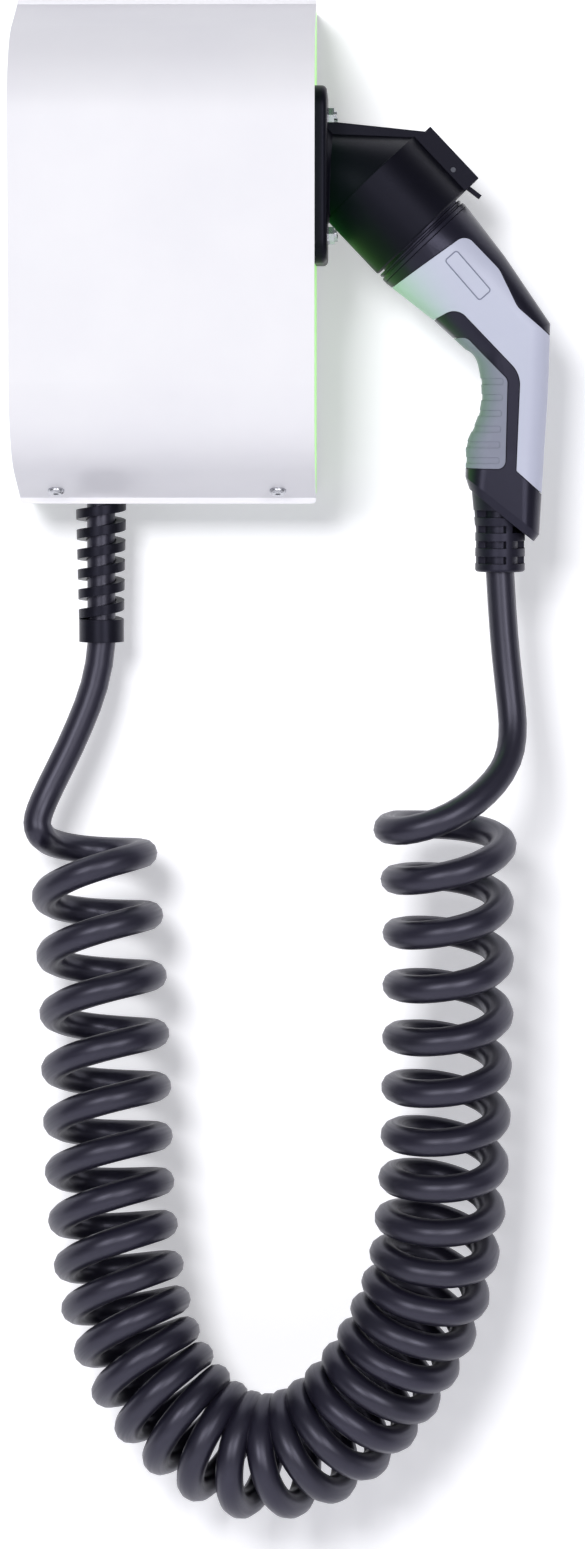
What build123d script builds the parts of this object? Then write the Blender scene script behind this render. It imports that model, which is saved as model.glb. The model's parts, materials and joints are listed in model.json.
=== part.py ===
from build123d import *
from math import cos, pi, radians, sin, tan
import os

os.makedirs("parts", exist_ok=True)

# Wall charger with a holster on its right side and a coiled lead that hangs in a U.
# The wall is the plane Y = 0, the front faces -Y, and the origin is the centre of the wall screws.

# Running and fitting gaps
fit_gap = 0.2
slide_gap = 0.3
pin_gap = 0.05

# Cover, a bent sheet with a flat front, a rolled edge above and below, and a slope behind it
cover_width = 172.5
box_depth = 130.0
crease_height = 142.5
cover_sheet = 1.5
roll_radius = 55.0
slope_angle = 20.0
lip_depth = 50.0
lip_height = 3.0
lip_corner = 2.4

# Side panels of translucent sheet
panel_sheet = 4.0
panel_recess = 0.3

# Back tray
plate_sheet = 2.0
shelf_setback = 9.5
shelf_depth = 50.0
flange_half = 77.5
flange_to_bolt = 5.6
tray_sheet = 2.0
tab_width = 20.0
tab_reach = 28.0

# Wall screws and the supply entry
wall_pitch_x = 120.0
wall_pitch_z = 220.0
wall_hole_d = 6.5
entry_x = 35.0
entry_rise = 35.0
entry_hole_d = 26.0
grommet_bore_d = 18.0
grommet_flange_d = 32.0
grommet_flange = 2.0

# Cover screws and their rivet nuts
cover_screw_x = 64.3
cover_screw_setback = 15.0
screw_d = 5.0
button_head_d = 9.5
button_head_h = 2.7
button_socket_af = 3.0
cover_screw_length = 12.0
rivet_body_d = 7.0
rivet_bulge_d = 9.0
rivet_length = 10.0
rivet_bulge_h = 2.5

# Light strips
strip_width = 10.0
strip_height = 236.0
strip_sheet = 1.2
led_size = 5.0
led_height = 1.5
led_count = 12

# Rail and the modules on it
rail_height = 35.0
rail_rise = 7.5
rail_sheet = 1.0
rail_web = 25.0
rail_length = 148.0
rail_z = 52.0
module_height = 86.0
module_depth = 60.0
module_nose = 45.0
module_nose_rise = 14.0
module_unit = 17.6
module_gap = 0.4
clamp_hole_d = 6.0

# Controller board
board_width = 84.0
board_height = 72.0
board_sheet = 1.6
board_x = -30.0
board_z = -42.0
standoff_height = 10.0
standoff_af = 6.0
board_screw_inset = 4.0

# Supply terminals and the earth stud
terminal_pitch = 10.0
terminal_count = 5
terminal_height = 34.0
terminal_depth = 28.0
terminal_x = 47.0
terminal_gap = 17.0
stud_x = 64.0
stud_z = -86.0
stud_d = 6.0
stud_length = 20.0

# Cable gland and its spiral guard
gland_x = -40.1
gland_depth = 35.0
cable_d = 16.5
gland_thread_d = 25.0
gland_af = 28.6
gland_thread_length = 14.0
gland_flange = 4.0
gland_neck = 5.5
lock_nut_h = 5.0
seal_length = 13.0
guard_cap_h = 6.8
guard_length = 83.0
guard_collar_h = 13.3
guard_collar_d = 26.4
guard_top_d = 29.8
guard_end_d = 26.2
guard_cable_gap = 0.3
guard_strip_h = 5.5
guard_pitch = 11.7
strip_inset = 0.3

# Holster
holster_depth = 65.0
holster_z = 42.4
foot_size = 100.0
foot_sheet = 7.0
foot_corner = 12.0
foot_edge = 3.0
bolt_pitch = 66.8
mouth_x = 147.3
mouth_z = 11.0
tube_angle = 46.5
tube_d = 70.0
tube_length = 42.5
tube_edge = 0.8
neck_root_d = 50.0
neck_root_z = 43.3
neck_flare = 3.0
neck_step = 0.8
neck_wall = 3.5
fin_root_z = 74.0
fin_reach = 40.3
boss_length = 40.3
boss_rise = 9.4
boss_width = 18.0
boss_roof = 2.0
slot_width = 8.0

# Latch lever
pivot_back = 13.4
pivot_above = 2.1
pivot_pin_d = 3.0
lever_width = 7.4
lever_thickness = 2.6
hook_back = 31.0
hook_length = 4.0
hook_width = 6.0
hook_run = 4.0
tab_out = 8.6
tab_rise = 0.8
leaf_sheet = 0.4
leaf_width = 5.0
leaf_flat = 6.0

# Holster bolts
bolt_head_d = 9.0
bolt_head_h = 2.6
nut_af = 8.0
nut_h = 4.0
bolt_end = 1.6
backing_sheet = 2.0
backing_size = 90.0

# Plug nose and its contacts
nose_radius = 30.5
nose_flat = 25.6
nose_wall = 3.0
nose_length = 38.0
nose_gap = 0.7
carrier_d = 44.0
carrier_depth = 33.0
power_hole_d = 7.0
signal_hole_d = 4.0
line_spread = 14.0
line_drop = 13.0
line_half = 7.0
signal_rise = 12.0
signal_half = 6.5
contact_wall = 0.5
collar_offset = 3.2
collar_d = 62.6
collar_ring_d = 63.7
collar_h = 1.8
collar_groove = 0.8
collar_edge = 0.5
notch_width = 8.0

# Plug body
body_start = 6.8
head_d = 63.7
elbow_thickness = 49.0
waist_thickness = 42.0
shell_wall = 3.0
cheek_depth = 1.4
seam_gap = 0.15
inlay_gap = 0.4
rib_count = 6
rib_pitch = 9.03
rib_top = -74.6
rib_end = 193.7
rib_lean = 0.4
rib_width = 3.6
rib_corner = 1.2
rib_depth = 0.5
boot_x = 193.0
boot_d = 28.8
boot_flare_d = 32.8
boot_flare_start = -160.0
boot_flare_end = -139.0
boot_top = -130.0
boot_bottom = -184.2
boot_core_d = 20.6
boot_slot_h = 4.2
boot_slot_top = -150.6
boot_slot_pitch = 8.9
boot_slot_count = 4
boot_bridge = 3.9
boot_turn = 20.5
boot_edge = 1.6
clamp_width = 24.0
clamp_depth = 26.0
clamp_height = 11.0

# Shelves below the creases, flanges behind the holster's bolts, light strips in the middle of the flanges
shelf_height = crease_height - shelf_setback
flange_depth = holster_depth - bolt_pitch / 2 - flange_to_bolt
strip_depth = (plate_sheet + flange_depth) / 2

# Lead: from the guard to the coil, the coil's outer shape, and from the coil to the plug's boot
coil_outer_d = 75.6
guard_top = -shelf_height - gland_flange - fit_gap - guard_cap_h
guard_bottom = guard_top - guard_length
wallbox_lead_points = [
    (gland_x, -gland_depth, guard_bottom),
    (gland_x, -gland_depth, guard_bottom - 29.0),
    (-48.5, -37.5, -284.0),
    (-62.5, -42.5, -309.0),
    (-72.5, -48.0, -335.0),
]
coil_points = [
    (-41.5, -48.0, -335.0),
    (-40.5, -49.0, -415.0),
    (-37.0, -50.0, -500.0),
    (-35.0, -52.0, -570.0),
    (-22.0, -54.0, -645.0),
    (12.0, -57.0, -694.0),
    (52.0, -60.0, -713.0),
    (92.0, -63.0, -700.0),
    (128.0, -66.0, -660.0),
    (154.0, -69.0, -605.0),
    (161.5, -72.0, -545.0),
    (163.0, -74.0, -478.0),
    (164.0, -76.0, -400.0),
    (162.5, -77.0, -322.0),
]
plug_lead_points = [
    (boot_x, -holster_depth, boot_bottom),
    (195.0, -66.0, -218.0),
    (197.5, -70.0, -252.5),
    (194.5, -76.0, -287.5),
    (192.0, -79.0, -322.0),
]

slope = radians(slope_angle)
roll_turn = 90.0 - slope_angle
cover_screw_depth = box_depth - lip_depth - cover_screw_setback
entry_z = entry_rise - shelf_height
terminal_z = entry_z + grommet_flange_d / 2 + terminal_gap + terminal_height / 2
panel_outer = cover_width / 2 - panel_recess
panel_inset = cover_sheet + fit_gap
tray_half_height = crease_height - panel_inset / cos(slope)


def side_profile(inset, back):
    """Half-round-cornered side view of the cover, moved inwards by inset and closed at Y = back."""
    arc_centre_z = crease_height - (box_depth - lip_depth - roll_radius) * tan(slope)
    arc_centre_z -= roll_radius / cos(slope)
    crease_z = crease_height - inset / cos(slope)
    front_y = inset - box_depth
    with BuildSketch() as profile:
        with BuildLine():
            front = Line((front_y, 0), (front_y, arc_centre_z))
            roll = JernArc(front @ 1, front % 1, roll_radius - inset, -roll_turn)
            ramp = Line(roll @ 1, (-lip_depth, crease_z))
            rear = Line(ramp @ 1, (back, crease_z))
            fall = Line(rear @ 1, (back, 0))
            Line(fall @ 1, front @ 0)
        make_face()
        mirror(about=Plane.XZ)
    return profile.sketch


def slope_plane(x, up, depth, offset):
    """Plane on the slope at a depth behind the front, facing outwards, at an offset from its skin."""
    z = up * (crease_height - (box_depth - lip_depth - depth) * tan(slope))
    normal = Vector(0, -sin(slope), up * cos(slope))
    origin = Vector(x, depth - box_depth, z) + normal * offset
    return Plane(origin=origin, x_dir=(1, 0, 0), z_dir=normal)


tab_places = [(x, up) for x in (-cover_screw_x, cover_screw_x) for up in (-1, 1)]
cover_screw_places = [(x, up) for x, up in tab_places if up < 0]

# Cover
with BuildPart() as cover:
    with BuildSketch(Plane.YZ):
        add(side_profile(0, 0))
        add(side_profile(cover_sheet, 0), mode=Mode.SUBTRACT)
        with Locations((-lip_depth / 2, 0)):
            Rectangle(lip_depth, 2 * crease_height, mode=Mode.SUBTRACT)
        lip_y = -lip_depth - cover_sheet / 2
        lip_z = crease_height + (lip_height - cover_sheet) / 2
        with Locations((lip_y, lip_z), (lip_y, -lip_z)):
            Rectangle(cover_sheet, lip_height + cover_sheet)
    extrude(amount=cover_width / 2, both=True)
    for x, up in cover_screw_places:
        with BuildSketch(slope_plane(x, up, cover_screw_depth, 1)):
            Circle(screw_d / 2 + fit_gap)
        extrude(amount=-cover_sheet - 2, mode=Mode.SUBTRACT)
    lip_edges = cover.edges().filter_by(Axis.Y).filter_by(lambda e: abs(e.center().Z) > crease_height + 1)
    fillet(lip_edges.filter_by(lambda e: abs(e.center().X) > cover_width / 2 - 1), radius=lip_corner)
cover.part.label = "cover"
export_step(cover.part, "parts/cover.step")

# Side panels, let in behind the cover's edge
bolt_places = [
    (y, z)
    for y in (-holster_depth - bolt_pitch / 2, -holster_depth + bolt_pitch / 2)
    for z in (holster_z - bolt_pitch / 2, holster_z + bolt_pitch / 2)
]
with BuildPart() as left_panel:
    with BuildSketch(Plane.YZ.offset(-panel_outer)):
        add(side_profile(panel_inset, -plate_sheet - fit_gap))
    extrude(amount=panel_sheet)
left_panel.part.label = "left_side_panel"
export_step(left_panel.part, "parts/left_side_panel.step")

with BuildPart() as right_panel:
    with BuildSketch(Plane.YZ.offset(panel_outer)):
        add(side_profile(panel_inset, -plate_sheet - fit_gap))
    extrude(amount=-panel_sheet)
    with BuildSketch(Plane.YZ.offset(panel_outer)):
        with Locations(*bolt_places):
            Circle(screw_d / 2 + fit_gap)
    extrude(amount=-panel_sheet, mode=Mode.SUBTRACT)
right_panel.part.label = "right_side_panel"
export_step(right_panel.part, "parts/right_side_panel.step")

# Back tray: wall plate, two shelves, two flanges and four tabs that run along the slope.
# The cover rests on the upper two and is screwed to the lower two.
shelf_length = shelf_depth - plate_sheet
with BuildPart() as back_tray:
    with BuildSketch(Plane.XZ):
        RectangleRounded(2 * panel_outer, 2 * tray_half_height, 3)
    extrude(amount=plate_sheet)
    with Locations((0, -plate_sheet - shelf_length / 2, shelf_height - tray_sheet / 2)):
        Box(2 * flange_half, shelf_length, tray_sheet)
    with Locations((0, -plate_sheet - shelf_length / 2, -shelf_height + tray_sheet / 2)):
        Box(2 * flange_half, shelf_length, tray_sheet)
    flange_x = flange_half - tray_sheet / 2
    with Locations((flange_x, -flange_depth / 2, 0), (-flange_x, -flange_depth / 2, 0)):
        Box(tray_sheet, flange_depth, 2 * shelf_height - tray_sheet)
    for x, up in tab_places:
        tab_plane = slope_plane(x, up, cover_screw_depth, -cover_sheet - slide_gap - tray_sheet / 2)
        tab_rear = tab_plane.origin + tab_plane.y_dir * up * tab_reach / 2
        tab_front = tab_plane.origin - tab_plane.y_dir * up * tab_reach / 2
        with BuildSketch(Plane.YZ.offset(x)):
            with BuildLine():
                Polyline(
                    (-shelf_depth + 1, up * (shelf_height - tray_sheet / 2)),
                    (tab_rear.Y, tab_rear.Z),
                    (tab_front.Y, tab_front.Z),
                )
            trace(line_width=tray_sheet)
        extrude(amount=tab_width / 2, both=True)
    for x, up in cover_screw_places:
        with BuildSketch(slope_plane(x, up, cover_screw_depth, -cover_sheet)):
            Circle(rivet_body_d / 2)
        extrude(amount=-slide_gap - 2 * tray_sheet, mode=Mode.SUBTRACT)
    wall_x = wall_pitch_x / 2
    wall_z = wall_pitch_z / 2
    wall_places = [(x, z) for x in (-wall_x, wall_x) for z in (-wall_z, wall_z)]
    with BuildSketch(Plane.XZ):
        with Locations(*wall_places):
            Circle(wall_hole_d / 2)
        with Locations((entry_x, entry_z)):
            Circle(entry_hole_d / 2)
    extrude(amount=plate_sheet, mode=Mode.SUBTRACT)
    with BuildSketch(Plane.XY.offset(-shelf_height)):
        with Locations((gland_x, -gland_depth)):
            Circle(gland_thread_d / 2 + fit_gap)
    extrude(amount=tray_sheet, mode=Mode.SUBTRACT)
back_tray.part.label = "back_tray"
export_step(back_tray.part, "parts/back_tray.step")

# Cover screws with a domed head and a hexagon socket
with BuildPart() as cover_screw:
    with BuildSketch():
        Circle(button_head_d / 2)
    extrude(amount=button_head_h)
    fillet(cover_screw.edges().group_by(Axis.Z)[-1], radius=button_head_h * 0.75)
    with BuildSketch(Plane.XY.offset(button_head_h)):
        RegularPolygon(button_socket_af / 2, 6, major_radius=False)
    extrude(amount=-button_head_h * 0.6, mode=Mode.SUBTRACT)
    with BuildSketch():
        Circle(screw_d / 2)
    extrude(amount=-cover_screw_length)
with BuildPart() as cover_screws:
    with Locations(*[slope_plane(x, up, cover_screw_depth, 0) for x, up in cover_screw_places]):
        add(cover_screw.part)
cover_screws.part.label = "cover_screws"
export_step(cover_screws.part, "parts/cover_screws.step")

# Rivet nuts, each upset behind its tab
with BuildPart() as rivet_nut:
    with BuildSketch():
        Circle(rivet_body_d / 2)
        Circle(screw_d / 2 + pin_gap, mode=Mode.SUBTRACT)
    extrude(amount=-rivet_length)
    with BuildSketch(Plane.XY.offset(-tray_sheet)):
        Circle(rivet_bulge_d / 2)
        Circle(rivet_body_d / 2 - 0.3, mode=Mode.SUBTRACT)
    extrude(amount=-rivet_bulge_h)
with BuildPart() as rivet_nuts:
    tab_skin = -cover_sheet - slide_gap
    with Locations(*[slope_plane(x, up, cover_screw_depth, tab_skin) for x, up in cover_screw_places]):
        add(rivet_nut.part)
rivet_nuts.part.label = "rivet_nuts"
export_step(rivet_nuts.part, "parts/rivet_nuts.step")

# Light strips on the outer faces of the flanges, with a row of lamps each
led_pitch = strip_height / led_count
for side, side_name in ((-1, "left"), (1, "right")):
    with BuildPart() as light_strip:
        with BuildSketch(Plane.YZ.offset(side * flange_half)):
            with Locations((-strip_depth, 0)):
                RectangleRounded(strip_width, strip_height, 1)
        extrude(amount=side * strip_sheet)
    light_strip.part.label = side_name + "_light_strip"
    export_step(light_strip.part, "parts/" + light_strip.part.label + ".step")
    with BuildPart() as leds:
        with BuildSketch(Plane.YZ.offset(side * (flange_half + strip_sheet))):
            with Locations((-strip_depth, 0)):
                with GridLocations(led_pitch, led_pitch, 1, led_count):
                    Rectangle(led_size, led_size)
        extrude(amount=side * led_height)
    leds.part.label = side_name + "_leds"
    export_step(leds.part, "parts/" + leds.part.label + ".step")

# Top-hat rail on the wall plate
rail_front = -plate_sheet - rail_rise
with BuildPart() as din_rail:
    with BuildSketch(Plane.YZ):
        with BuildLine():
            Polyline(
                (rail_front + rail_sheet / 2, rail_z + rail_height / 2),
                (rail_front + rail_sheet / 2, rail_z + rail_web / 2),
                (-plate_sheet - rail_sheet / 2, rail_z + rail_web / 2),
                (-plate_sheet - rail_sheet / 2, rail_z - rail_web / 2),
                (rail_front + rail_sheet / 2, rail_z - rail_web / 2),
                (rail_front + rail_sheet / 2, rail_z - rail_height / 2),
            )
        trace(line_width=rail_sheet)
    extrude(amount=rail_length / 2, both=True)
din_rail.part.label = "din_rail"
export_step(din_rail.part, "parts/din_rail.step")


def rail_module(units, poles):
    """Modular device with a stepped front, two rail claws and clamp holes above and below."""
    width = units * module_unit
    back = rail_front - fit_gap
    step = back - module_depth + module_nose_rise
    nose = back - module_depth
    with BuildPart() as module:
        with BuildSketch(Plane.YZ):
            with Locations(((back + step) / 2, 0)):
                Rectangle(back - step, module_height)
            with Locations(((back + nose) / 2, 0)):
                Rectangle(back - nose, module_nose)
            claw_z = rail_height / 2 + fit_gap + 2
            with Locations((back + 1.5, claw_z), (back + 1.5, -claw_z)):
                Rectangle(3, 4)
        extrude(amount=width - module_gap)
        with BuildSketch(Plane.XZ.offset(-step)):
            with Locations((width / 2 - module_gap / 2, 0)):
                with GridLocations(width / poles, module_height * 0.76, poles, 2):
                    Circle(clamp_hole_d / 2)
        extrude(amount=-8, mode=Mode.SUBTRACT)
    return module.part


# Contactor, residual current monitor, energy meter and power supply on the rail
module_x = -rail_length / 2 + 3
for module_name, units, poles in (
    ("contactor", 3, 4),
    ("residual_current_monitor", 2, 4),
    ("energy_meter", 2, 4),
    ("power_supply", 1, 2),
):
    with BuildPart() as device:
        with Locations((module_x, 0, rail_z)):
            add(rail_module(units, poles))
    device.part.label = module_name
    export_step(device.part, "parts/" + module_name + ".step")
    module_x += units * module_unit

# Controller board on four standoffs
board_back = -plate_sheet - standoff_height
board_front = board_back - board_sheet
hole_pitch_x = board_width - 2 * board_screw_inset
hole_pitch_z = board_height - 2 * board_screw_inset
board_screw_d = 3.0
with BuildPart() as board_standoffs:
    with BuildSketch(Plane.XZ.offset(plate_sheet)):
        with Locations((board_x, board_z)):
            with GridLocations(hole_pitch_x, hole_pitch_z, 2, 2):
                RegularPolygon(standoff_af / 2, 6, major_radius=False)
                Circle(board_screw_d / 2 + pin_gap, mode=Mode.SUBTRACT)
    extrude(amount=standoff_height)
board_standoffs.part.label = "board_standoffs"
export_step(board_standoffs.part, "parts/board_standoffs.step")

with BuildPart() as controller_board:
    with BuildSketch(Plane.XZ.offset(-board_back)):
        with Locations((board_x, board_z)):
            RectangleRounded(board_width, board_height, 3)
            with GridLocations(hole_pitch_x, hole_pitch_z, 2, 2):
                Circle(board_screw_d / 2 + fit_gap, mode=Mode.SUBTRACT)
    extrude(amount=board_sheet)
controller_board.part.label = "controller_board"
export_step(controller_board.part, "parts/controller_board.step")

with BuildPart() as board_screws:
    with BuildSketch(Plane.XZ.offset(-board_front)):
        with Locations((board_x, board_z)):
            with GridLocations(hole_pitch_x, hole_pitch_z, 2, 2):
                Circle(board_screw_d)
    extrude(amount=2)
    with BuildSketch(Plane.XZ.offset(-board_front)):
        with Locations((board_x, board_z)):
            with GridLocations(hole_pitch_x, hole_pitch_z, 2, 2):
                Circle(board_screw_d / 2)
    extrude(amount=-board_sheet - 6)
board_screws.part.label = "board_screws"
export_step(board_screws.part, "parts/board_screws.step")

# Relays, terminals, capacitors and a processor on the board
with BuildPart() as board_components:
    with Locations((board_x, board_front, board_z)):
        with Locations((-26, -7.5, -20), (-8, -7.5, -20)):
            Box(15, 15, 19)
        with Locations((18, -5, -26), (30, -5, 4)):
            Box(10, 10, 12)
        with Locations((2, -0.9, 12)):
            Box(14, 1.8, 14)
        with Locations((-20, -6, 26)):
            Box(24, 12, 8)
        with Locations(Location((20, 0, 22), (90, 0, 0)), Location((6, 0, 27), (90, 0, 0))):
            Cylinder(4, 13, align=(Align.CENTER, Align.CENTER, Align.MIN))
board_components.part.label = "board_components"
export_step(board_components.part, "parts/board_components.step")

# Supply terminal block
terminal_width = terminal_pitch * terminal_count
with BuildPart() as terminal_block:
    with Locations((terminal_x, -plate_sheet - terminal_depth / 2, terminal_z)):
        Box(terminal_width, terminal_depth, terminal_height)
    chamfer(terminal_block.edges().filter_by(Axis.X).group_by(Axis.Y)[0], length=4)
    with BuildSketch(Plane.XZ.offset(plate_sheet + terminal_depth)):
        with Locations((terminal_x, terminal_z)):
            with GridLocations(terminal_pitch, terminal_height / 2, terminal_count, 2):
                Circle(terminal_pitch * 0.28)
    extrude(amount=-6, mode=Mode.SUBTRACT)
terminal_block.part.label = "terminal_block"
export_step(terminal_block.part, "parts/terminal_block.step")

# Earth stud with its washer and nut
with BuildPart() as earth_stud:
    with BuildSketch(Plane.XZ.offset(plate_sheet)):
        with Locations((stud_x, stud_z)):
            Circle(stud_d / 2)
    extrude(amount=stud_length)
earth_stud.part.label = "earth_stud"
export_step(earth_stud.part, "parts/earth_stud.step")
with BuildPart() as earth_nut:
    with BuildSketch(Plane.XZ.offset(plate_sheet)):
        with Locations((stud_x, stud_z)):
            Circle(stud_d)
            Circle(stud_d / 2 + pin_gap, mode=Mode.SUBTRACT)
    extrude(amount=1.6)
    with BuildSketch(Plane.XZ.offset(plate_sheet + 1.6)):
        with Locations((stud_x, stud_z)):
            RegularPolygon(5, 6, major_radius=False)
            Circle(stud_d / 2 + pin_gap, mode=Mode.SUBTRACT)
    extrude(amount=5)
earth_nut.part.label = "earth_nut"
export_step(earth_nut.part, "parts/earth_nut.step")

# Grommet in the supply entry
with BuildPart() as supply_grommet:
    with BuildSketch(Plane.XZ):
        with Locations((entry_x, entry_z)):
            Circle(entry_hole_d / 2 - pin_gap)
    extrude(amount=plate_sheet)
    with BuildSketch(Plane.XZ.offset(plate_sheet)):
        with Locations((entry_x, entry_z)):
            Circle(grommet_flange_d / 2)
    extrude(amount=grommet_flange)
    with BuildSketch(Plane.XZ):
        with Locations((entry_x, entry_z)):
            Circle(grommet_bore_d / 2)
    extrude(amount=plate_sheet + grommet_flange, mode=Mode.SUBTRACT)
supply_grommet.part.label = "supply_grommet"
export_step(supply_grommet.part, "parts/supply_grommet.step")

# Cable gland: threaded body with a hexagon flange, lock nut and seal
gland_centre = (gland_x, -gland_depth)
gland_neck_d = 22.0
seal_d = 20.4
cable_hole_d = cable_d + 2 * guard_cable_gap
with BuildPart() as gland_body:
    with BuildSketch(Plane.XY.offset(-shelf_height)):
        with Locations(gland_centre):
            Circle(gland_thread_d / 2)
    extrude(amount=gland_thread_length)
    with BuildSketch(Plane.XY.offset(-shelf_height)):
        with Locations(gland_centre):
            RegularPolygon(gland_af / 2, 6, major_radius=False)
    extrude(amount=-gland_flange)
    with BuildSketch(Plane.XY.offset(-shelf_height - gland_flange)):
        with Locations(gland_centre):
            Circle(gland_neck_d / 2)
    extrude(amount=-gland_neck + fit_gap)
    with BuildSketch(Plane.XY.offset(-shelf_height + gland_thread_length)):
        with Locations(gland_centre):
            Circle(cable_hole_d / 2)
    extrude(amount=-gland_thread_length - gland_flange - gland_neck, mode=Mode.SUBTRACT)
    with BuildSketch(Plane.XY.offset(-shelf_height - gland_flange - gland_neck)):
        with Locations(gland_centre):
            Circle(seal_d / 2 + pin_gap)
    extrude(amount=seal_length + fit_gap, mode=Mode.SUBTRACT)
gland_body.part.label = "gland_body"
export_step(gland_body.part, "parts/gland_body.step")

with BuildPart() as gland_lock_nut:
    with BuildSketch(Plane.XY.offset(tray_sheet - shelf_height)):
        with Locations(gland_centre):
            RegularPolygon(gland_af / 2 + 1.5, 6, major_radius=False)
            Circle(gland_thread_d / 2 + pin_gap, mode=Mode.SUBTRACT)
    extrude(amount=lock_nut_h)
gland_lock_nut.part.label = "gland_lock_nut"
export_step(gland_lock_nut.part, "parts/gland_lock_nut.step")

with BuildPart() as gland_seal:
    with BuildSketch(Plane.XY.offset(-shelf_height - gland_flange - gland_neck + fit_gap)):
        with Locations(gland_centre):
            Circle(seal_d / 2)
            Circle(cable_d / 2 + pin_gap, mode=Mode.SUBTRACT)
    extrude(amount=seal_length)
gland_seal.part.label = "gland_seal"
export_step(gland_seal.part, "parts/gland_seal.step")

# Bend guard: a hexagon cap, a right-handed spiral strip round the cable, and an end collar
cap_top = -shelf_height - gland_flange
cap_inner_floor = cap_top - gland_neck
collar_top = guard_bottom + guard_collar_h
strip_start = collar_top - guard_strip_h / 2 - 0.5
strip_height_total = guard_top - guard_strip_h / 2 + 0.5 - strip_start
strip_thickness = (guard_top_d - cable_hole_d) / 2 - strip_inset
strip_radius = (cable_hole_d + strip_thickness) / 2 + strip_inset
with BuildPart() as bend_guard:
    with BuildLine():
        spiral = Helix(guard_pitch, strip_height_total, strip_radius)
    with BuildSketch(Plane(origin=spiral @ 0, x_dir=(1, 0, 0), z_dir=spiral % 0)):
        Rectangle(strip_thickness, guard_strip_h)
    sweep(path=spiral.edge(), is_frenet=True)
    with Locations((0, 0, -guard_strip_h)):
        Cone(
            bottom_radius=guard_end_d / 2,
            top_radius=guard_top_d / 2,
            height=strip_height_total + 2 * guard_strip_h,
            align=(Align.CENTER, Align.CENTER, Align.MIN),
            mode=Mode.INTERSECT,
        )
    with BuildSketch(Plane.XY.offset(guard_bottom - strip_start)):
        Circle(guard_collar_d / 2)
        Circle(cable_hole_d / 2, mode=Mode.SUBTRACT)
    extrude(amount=guard_collar_h)
    with BuildSketch(Plane.XY.offset(guard_top - strip_start)):
        RegularPolygon(gland_af / 2, 6, major_radius=False)
        Circle(cable_hole_d / 2, mode=Mode.SUBTRACT)
    extrude(amount=guard_cap_h)
    with BuildSketch(Plane.XY.offset(cap_inner_floor - strip_start)):
        Circle(gland_neck_d / 2 + pin_gap)
    extrude(amount=gland_neck, mode=Mode.SUBTRACT)
bend_guard_placed = Pos(gland_x, -gland_depth, strip_start) * bend_guard.part
bend_guard_placed.label = "bend_guard"
export_step(bend_guard_placed, "parts/bend_guard.step")

# Cable sheath held in the gland, down to the guard's end
sheath_top = -shelf_height + gland_thread_length + 3
with BuildPart() as cable_sheath:
    with BuildSketch(Plane.XY.offset(guard_bottom)):
        with Locations(gland_centre):
            Circle(cable_d / 2)
    extrude(amount=sheath_top - guard_bottom)
cable_sheath.part.label = "cable_sheath"
export_step(cable_sheath.part, "parts/cable_sheath.step")

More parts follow.
